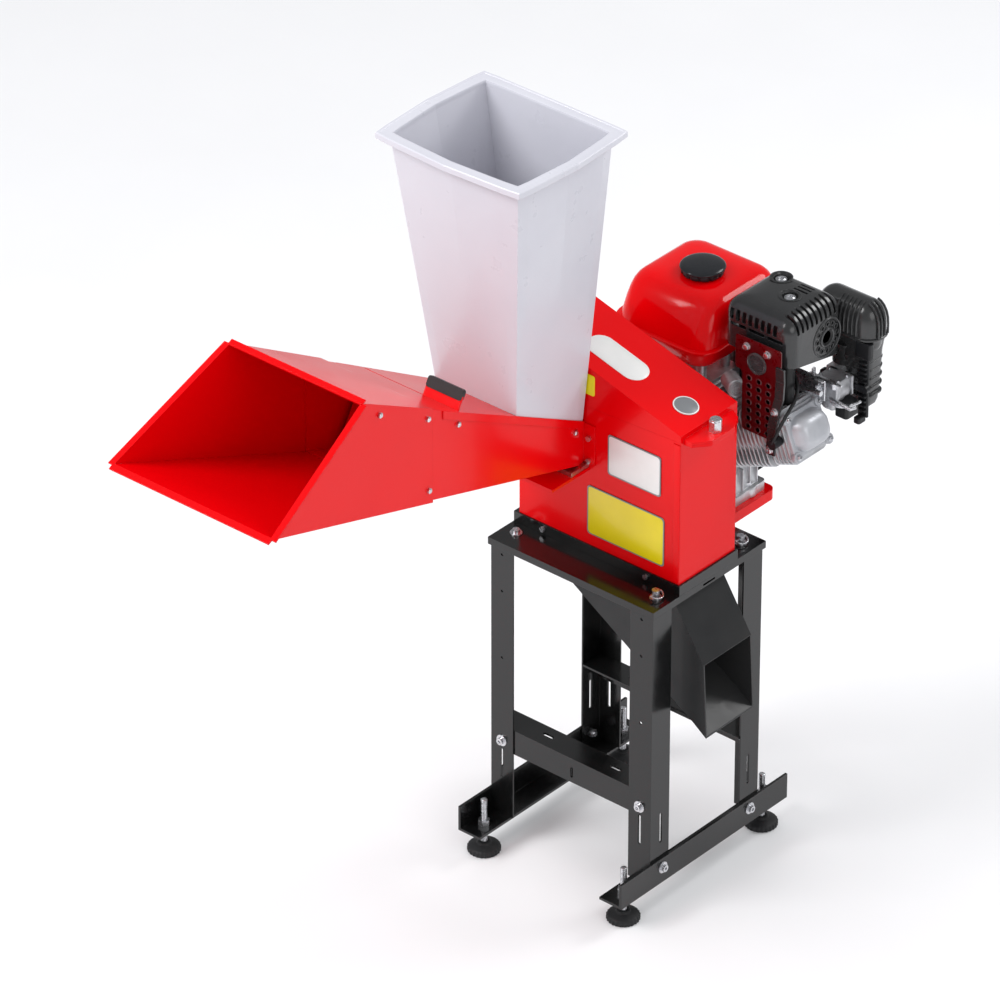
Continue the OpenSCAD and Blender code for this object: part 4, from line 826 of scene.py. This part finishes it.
def carburettor():
    """Body between two flanges, float bowl, and the black housing of the air cleaner beside it."""
    bm = bmesh.new()
    add_loft(bm, box_rings(199, 249, 262, 302, 9, [(2, 880), (0, 882), (0, 910), (3, 914)]))
    add_block(bm, 198, 251, 258, 264, 877, 914, 3.0)
    add_block(bm, 198, 251, 300, 306, 877, 914, 3.0)
    add_turned(bm, [(0.2, 847), (6, 847), (6, 852), (12, 853), (18, 856), (20.5, 861), (20.5, 876), (22.5, 877.5),
                    (22.5, 881), (19, 882), (0.2, 882)], lambda x, y, z: at(224 + x, 282 + y, z), 48)
    add_turned(bm, [(0.2, 0), (13.5, 0), (13.5, 8), (0.2, 8)], along((210, 253, 892), (210, 300, 892)), 36)
    add_turned(bm, [(0.2, 902), (21, 902), (21.5, 903), (21.5, 914), (0.2, 914)], lambda x, y, z: at(206 + x, 342 + y, z), 48)
    add_block(bm, 192, 220, 300, 342, 902, 914, 3.0)
    finish_mesh("carburettor_skin", bm, MATS["cast_aluminium"], "machine", ["carburettor"], 40.0)
    screws = bmesh.new()
    for x in (205.0, 243.0):
        for y in (270.0, 294.0):
            add_bolt(screws, lambda a, b, z, x=x, y=y: at(x + a, y + b, 913.6 + z), 3.2, 4.0)
    for x in (203.0, 246.0):
        add_bolt(screws, along((x, 258, 908), (x, 200, 908)), 4.0, 4.6, False)
    finish_mesh("carburettor_screws", screws, MATS["zinc"], "machine")
    housing = bmesh.new()
    add_loft(housing, box_rings(204, 270, 319, 372, 16, [(15, 838), (10, 841), (7, 850), (5, 880), (3, 920), (2, 948),
                                                          (0, 962), (-2, 976)]))
    for i in range(5):
        z = 862.0 + i * 17.0
        add_loft(housing, box_rings(204, 270, 319, 372, 16, [(5, z), (1.6, z + 1.4), (1.4, z + 4), (4.6, z + 5.4)]))
    finish_mesh("air_cleaner_housing", housing, MATS["guard"], "machine")


def casting():
    """Sump, foot bosses, ribs and plugs of the crankcase, and the shroud's ribs and screws."""
    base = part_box("crankcase")[0].z / MM
    sump = bmesh.new()
    add_loft(sump, box_rings(-84, 91, 134, 260, 18, [(0, base + 16), (2, base + 22), (6, base + 50), (14, base + 78),
                                                     (24, base + 96)]))
    for x in (-78.0, 84.0):
        for y in (150.0, 226.0):
            add_turned(sump, [(0.2, base + 1), (17, base + 1), (17, base + 16.4), (15.6, base + 18), (0.2, base + 18)],
                       lambda a, b, z, x=x, y=y: at(x + a, y + b, z), 40)
    for i in range(6):
        y = 146.0 + i * 20.0
        add_block(sump, 60, 93.5 - 0.4 * i, y - 2, y + 2, base + 16, base + 62, 1.5)
        add_block(sump, -87, -60, y - 2, y + 2, base + 16, base + 62, 1.5)
    for i in range(6):
        z = 799.0 + i * 12.0
        add_block(sump, -104, 37, 146, 260, z, z + 3.2, 8.0)
    finish_mesh("crankcase_ribs", sump, MATS["cast_aluminium"], "machine")
    plugs = bmesh.new()
    add_bolt(plugs, along((88, 156, base + 34), (140, 140, base + 34)), 9.0, 9.0, False)
    add_bolt(plugs, along((-84, 190, base + 34), (-140, 190, base + 34)), 9.0, 9.0, False)
    for turn in (0.35, 1.9, 3.6, 5.2):
        x, z = CRANK_X + 104 * math.cos(turn), CRANK_Z + 104 * math.sin(turn)
        add_bolt(plugs, along((x, 262, z), (x, 200, z)), 5.0, 5.0)
    finish_mesh("casting_plugs", plugs, MATS["zinc"], "machine")
    shroud = bmesh.new()
    rim = along((CRANK_X, 262, CRANK_Z), (CRANK_X, 322, CRANK_Z))
    add_turned(shroud, [(106, 0.2), (112, 0.2), (112.6, 1.2), (112.6, 4), (110, 6)], rim, 96)
    add_turned(shroud, [(110, 52), (112.6, 54), (112.6, 59), (110, 60)], rim, 96)
    for i in range(36):
        c, q = math.cos(i * math.pi / 18), math.sin(i * math.pi / 18)
        add_block(shroud, 108.4, 111.2, -1.6, 1.6, 5, 54, 0.8, lambda x, y, z, c=c, q=q: rim(x * c - y * q, x * q + y * c, z))
    finish_mesh("shroud_ribs", shroud, MATS["black_plastic"], "machine")


def engine_trim():
    """Small fittings on the engine's visible side."""
    black = bmesh.new()
    strap = [(214, 148, 985), (216, 147, 960), (214, 147, 925), (206, 147, 895), (200, 147, 862), (197, 148, 826),
             (196, 149, 806)]
    for a, b in zip(strap, strap[1:]):
        a, b = Vector(a), Vector(b)
        wide = 9.0
        corners = [(a.x - wide, a.y - 2, a.z), (a.x + wide, a.y - 2, a.z), (a.x + wide, a.y + 2, a.z),
                   (a.x - wide, a.y + 2, a.z)]
        ends = [(b.x - wide, b.y - 2, b.z), (b.x + wide, b.y - 2, b.z), (b.x + wide, b.y + 2, b.z),
                (b.x - wide, b.y + 2, b.z)]
        add_loft(black, [corners, ends])
    finish_mesh("shield_strap", black, MATS["guard"], "machine")
    box = bmesh.new()
    add_block(box, 238.0, 266.0, 268.0, 303.0, 846.0, 874.0, 6.0)
    finish_mesh("governor_cover", box, MATS["black_plastic"], "machine")
    seam = bmesh.new()
    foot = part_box("casing")[0].z / MM
    add_block(seam, 167.0, CASING_RIGHT - 0.4, CASING_FRONT - 0.9, CASING_FRONT + 0.6, foot + 2.0, 924.0, 0.4)
    finish_mesh("casing_seam", seam, MATS["gloss_red"], "machine")
    bolts = bmesh.new()
    for x, z in ((206, 897), (197, 818)):
        add_bolt(bolts, along((x, 145, z), (x, 100, z)), 6.0, 6.0)
    finish_mesh("engine_side_bolts", bolts, MATS["zinc"], "machine")
    lead = bmesh.new()
    add_tube(lead, arc_path((212, 132, 842), (226, 132, 880), (222, 176, 906), 24), 3.2)
    add_tube(lead, arc_path((222, 176, 906), (216, 214, 930), (150, 240, 930), 24), 3.2)
    finish_mesh("spark_lead", lead, MATS["rubber"], "machine")
    bracket = bmesh.new()
    add_block(bracket, 150.0, 248.0, 228.0, 231.0, 896.0, 936.0, 1.0)
    add_block(bracket, 150.0, 248.0, 222.0, 231.0, 934.0, 937.0, 1.0)
    add_tube(bracket, [(176, 216, 912), (250, 216, 918)], 5.0, 16)
    for x in (168.0, 232.0):
        add_bolt(bracket, along((x, 228, 918), (x, 150, 918)), 7.0, 8.0, False)
    finish_mesh("carburettor_bracket", bracket, MATS["zinc"], "machine")
    rods = bmesh.new()
    add_tube(rods, [(190, 254, 916), (264, 254, 921)], 2.0)
    add_tube(rods, [(236, 258, 884), (282, 258, 880), (284, 268, 880)], 3.4)
    add_tube(rods, arc_path((232, 260, 880), (262, 250, 868), (270, 300, 872)), 3.0)
    coil = [(206 + 3.2 * math.cos(t * 0.9), 250 + 3.2 * math.sin(t * 0.9), 918 + t * 0.32) for t in range(60)]
    add_tube(rods, coil, 0.7, 8)
    add_block(rods, 190, 250, 250, 262, 908, 920, 3.0)
    finish_mesh("carburettor_linkage", rods, MATS["zinc"], "machine")


# ------------------------------------------------------------------ labels and trim

def on_hood(x, y, lift):
    """A point above the sloping hood top."""
    slope = (1039.0 - 942.0) / (182.0 + 176.0)
    tip = math.atan(slope)
    return (x + lift * math.sin(tip), y, 942.0 + (182.0 - x) * slope + lift * math.cos(tip))


def labels():
    """Blank plates with a thin border, in place of the printed ones."""
    def plate(name, centre, tip, size, corner, material, body, border=None):
        front = along(centre, tip)
        half_x, half_y = size[0] / 2, size[1] / 2
        thick = 0.9
        bm = bmesh.new()
        add_loft(bm, box_rings(-half_x, half_x, -half_y, half_y, corner, [(0, 0), (0, thick), (0.5, thick + 0.3)]), front)
        face = finish_mesh(name, bm, material, body)
        if border:
            bm = bmesh.new()
            edge = 2.2
            inner = box_rings(-half_x + edge, half_x - edge, -half_y + edge, half_y - edge, corner, [(0, thick)])[0]
            outer = box_rings(-half_x, half_x, -half_y, half_y, corner, [(0, 0), (0, thick + 0.5), (0.4, thick + 0.8)])
            rim = [(x, y, thick + 0.8) for x, y, z in inner]
            foot = [(x, y, 0.0) for x, y, z in inner]
            rows = add_loft(bm, outer + [rim, foot], front, cap_low=False, cap_high=False)
            for i in range(len(rows[0])):
                j = (i + 1) % len(rows[0])
                bm.faces.new((rows[-1][i], rows[-1][j], rows[0][j], rows[0][i]))
            finish_mesh(name + "_border", bm, border, body)
        return face

    upper = plate("label_upper", (81.5, -77, 844), (81.5, -177, 844), (117, 80), 6.0, MATS["label_blank"], "machine",
                  MATS["badge_grey"])
    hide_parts("info_plates")
    plate("label_lower", (63.5, -77, 716), (63.5, -177, 716), (171, 98), 7.0, MATS["label_yellow"], "machine",
          MATS["badge_grey"])
    oval = plate("hood_oval", on_hood(-9, -15, 0), on_hood(-9, -15, 100), (54, 126), 26.0, MATS["label_blank"], "hood_body")
    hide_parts("hood_badge")
    plate("hood_round_badge", on_hood(137, -10, 0), on_hood(137, -10, 100), (46, 46), 22.9, MATS["badge_grey"],
          "hood_body", MATS["label_blank"])
    plate("hood_front_label", (-30, -77, 965), (-30, -177, 965), (44, 40), 4.0, MATS["label_yellow"], "hood_body")


hopper()
fuel_tank()
fuel_cap()
muffler_guard()
air_cleaner()
valve_cover()
cylinder()
heat_shield()
carburettor()
casting()
starter()
feet()
soften(0.9, "casing", "hood", "chute_outer", "chute_inner", "feed_gate", "engine_base_plate", "inlet_shelf")
soften(0.8, "table_top", "left_base_rail", "right_base_rail", "front_cross_brace", "back_cross_brace", "discharge_duct",
       "leg_front_left", "leg_front_right", "leg_back_left", "leg_back_right", "base_flange")
engine_trim()
labels()

# ------------------------------------------------------------------ stage

floor_size = 80.0
bpy.ops.mesh.primitive_plane_add(size=floor_size, location=(0, 0, 0))
floor = bpy.context.object
floor.name = "floor"
floor_look = Look("floor", (0.86, 0.86, 0.87), 0.6)
floor_look.tint((0.87, 0.87, 0.88), (0.85, 0.85, 0.86), 2.0)
floor.data.materials.append(floor_look.mat)


def soft_light(name, place, aim, size, power):
    lamp = bpy.data.lights.new(name, "AREA")
    lamp.shape = "DISK"
    lamp.size = size
    lamp.energy = power
    holder = bpy.data.objects.new(name, lamp)
    holder.location = place
    holder.rotation_euler = (Vector(aim) - Vector(place)).to_track_quat("-Z", "Y").to_euler()
    bpy.context.scene.collection.objects.link(holder)


AIM = at(-79.5, -240.5, 786.9)
soft_light("key", AIM + Vector((-1.6, -3.2, 3.4)), AIM, 2.4, 160)
soft_light("fill", AIM + Vector((3.8, -1.0, 1.6)), AIM, 2.6, 30)
soft_light("rim", AIM + Vector((1.5, 3.4, 2.8)), AIM, 2.0, 70)
world = bpy.data.worlds.new("studio")
world.use_nodes = True
sky = world.node_tree.nodes
rays = sky.new("ShaderNodeLightPath")
level = sky.new("ShaderNodeMapRange")
level.inputs["To Min"].default_value = 0.8
level.inputs["To Max"].default_value = 0.35
world.node_tree.links.new(rays.outputs["Is Glossy Ray"], level.inputs["Value"])
world.node_tree.links.new(level.outputs["Result"], sky["Background"].inputs["Strength"])
sky["Background"].inputs["Color"].default_value = (0.97, 0.98, 1.0, 1.0)
bpy.context.scene.world = world
bpy.context.scene.view_settings.view_transform = "Standard"

azimuth, elevation = math.radians(40.74), math.radians(32.37)
back = Vector((math.sin(azimuth) * math.cos(elevation), -math.cos(azimuth) * math.cos(elevation), math.sin(elevation)))
camera_data = bpy.data.cameras.new("camera")
camera_data.lens = 282.2
camera_data.sensor_width = 36.0
camera_data.clip_end = 60.0
camera = bpy.data.objects.new("camera", camera_data)
camera.location = AIM + back * 13.324
camera.rotation_euler = back.to_track_quat("Z", "Y").to_euler()
bpy.context.scene.collection.objects.link(camera)
bpy.context.scene.camera = camera
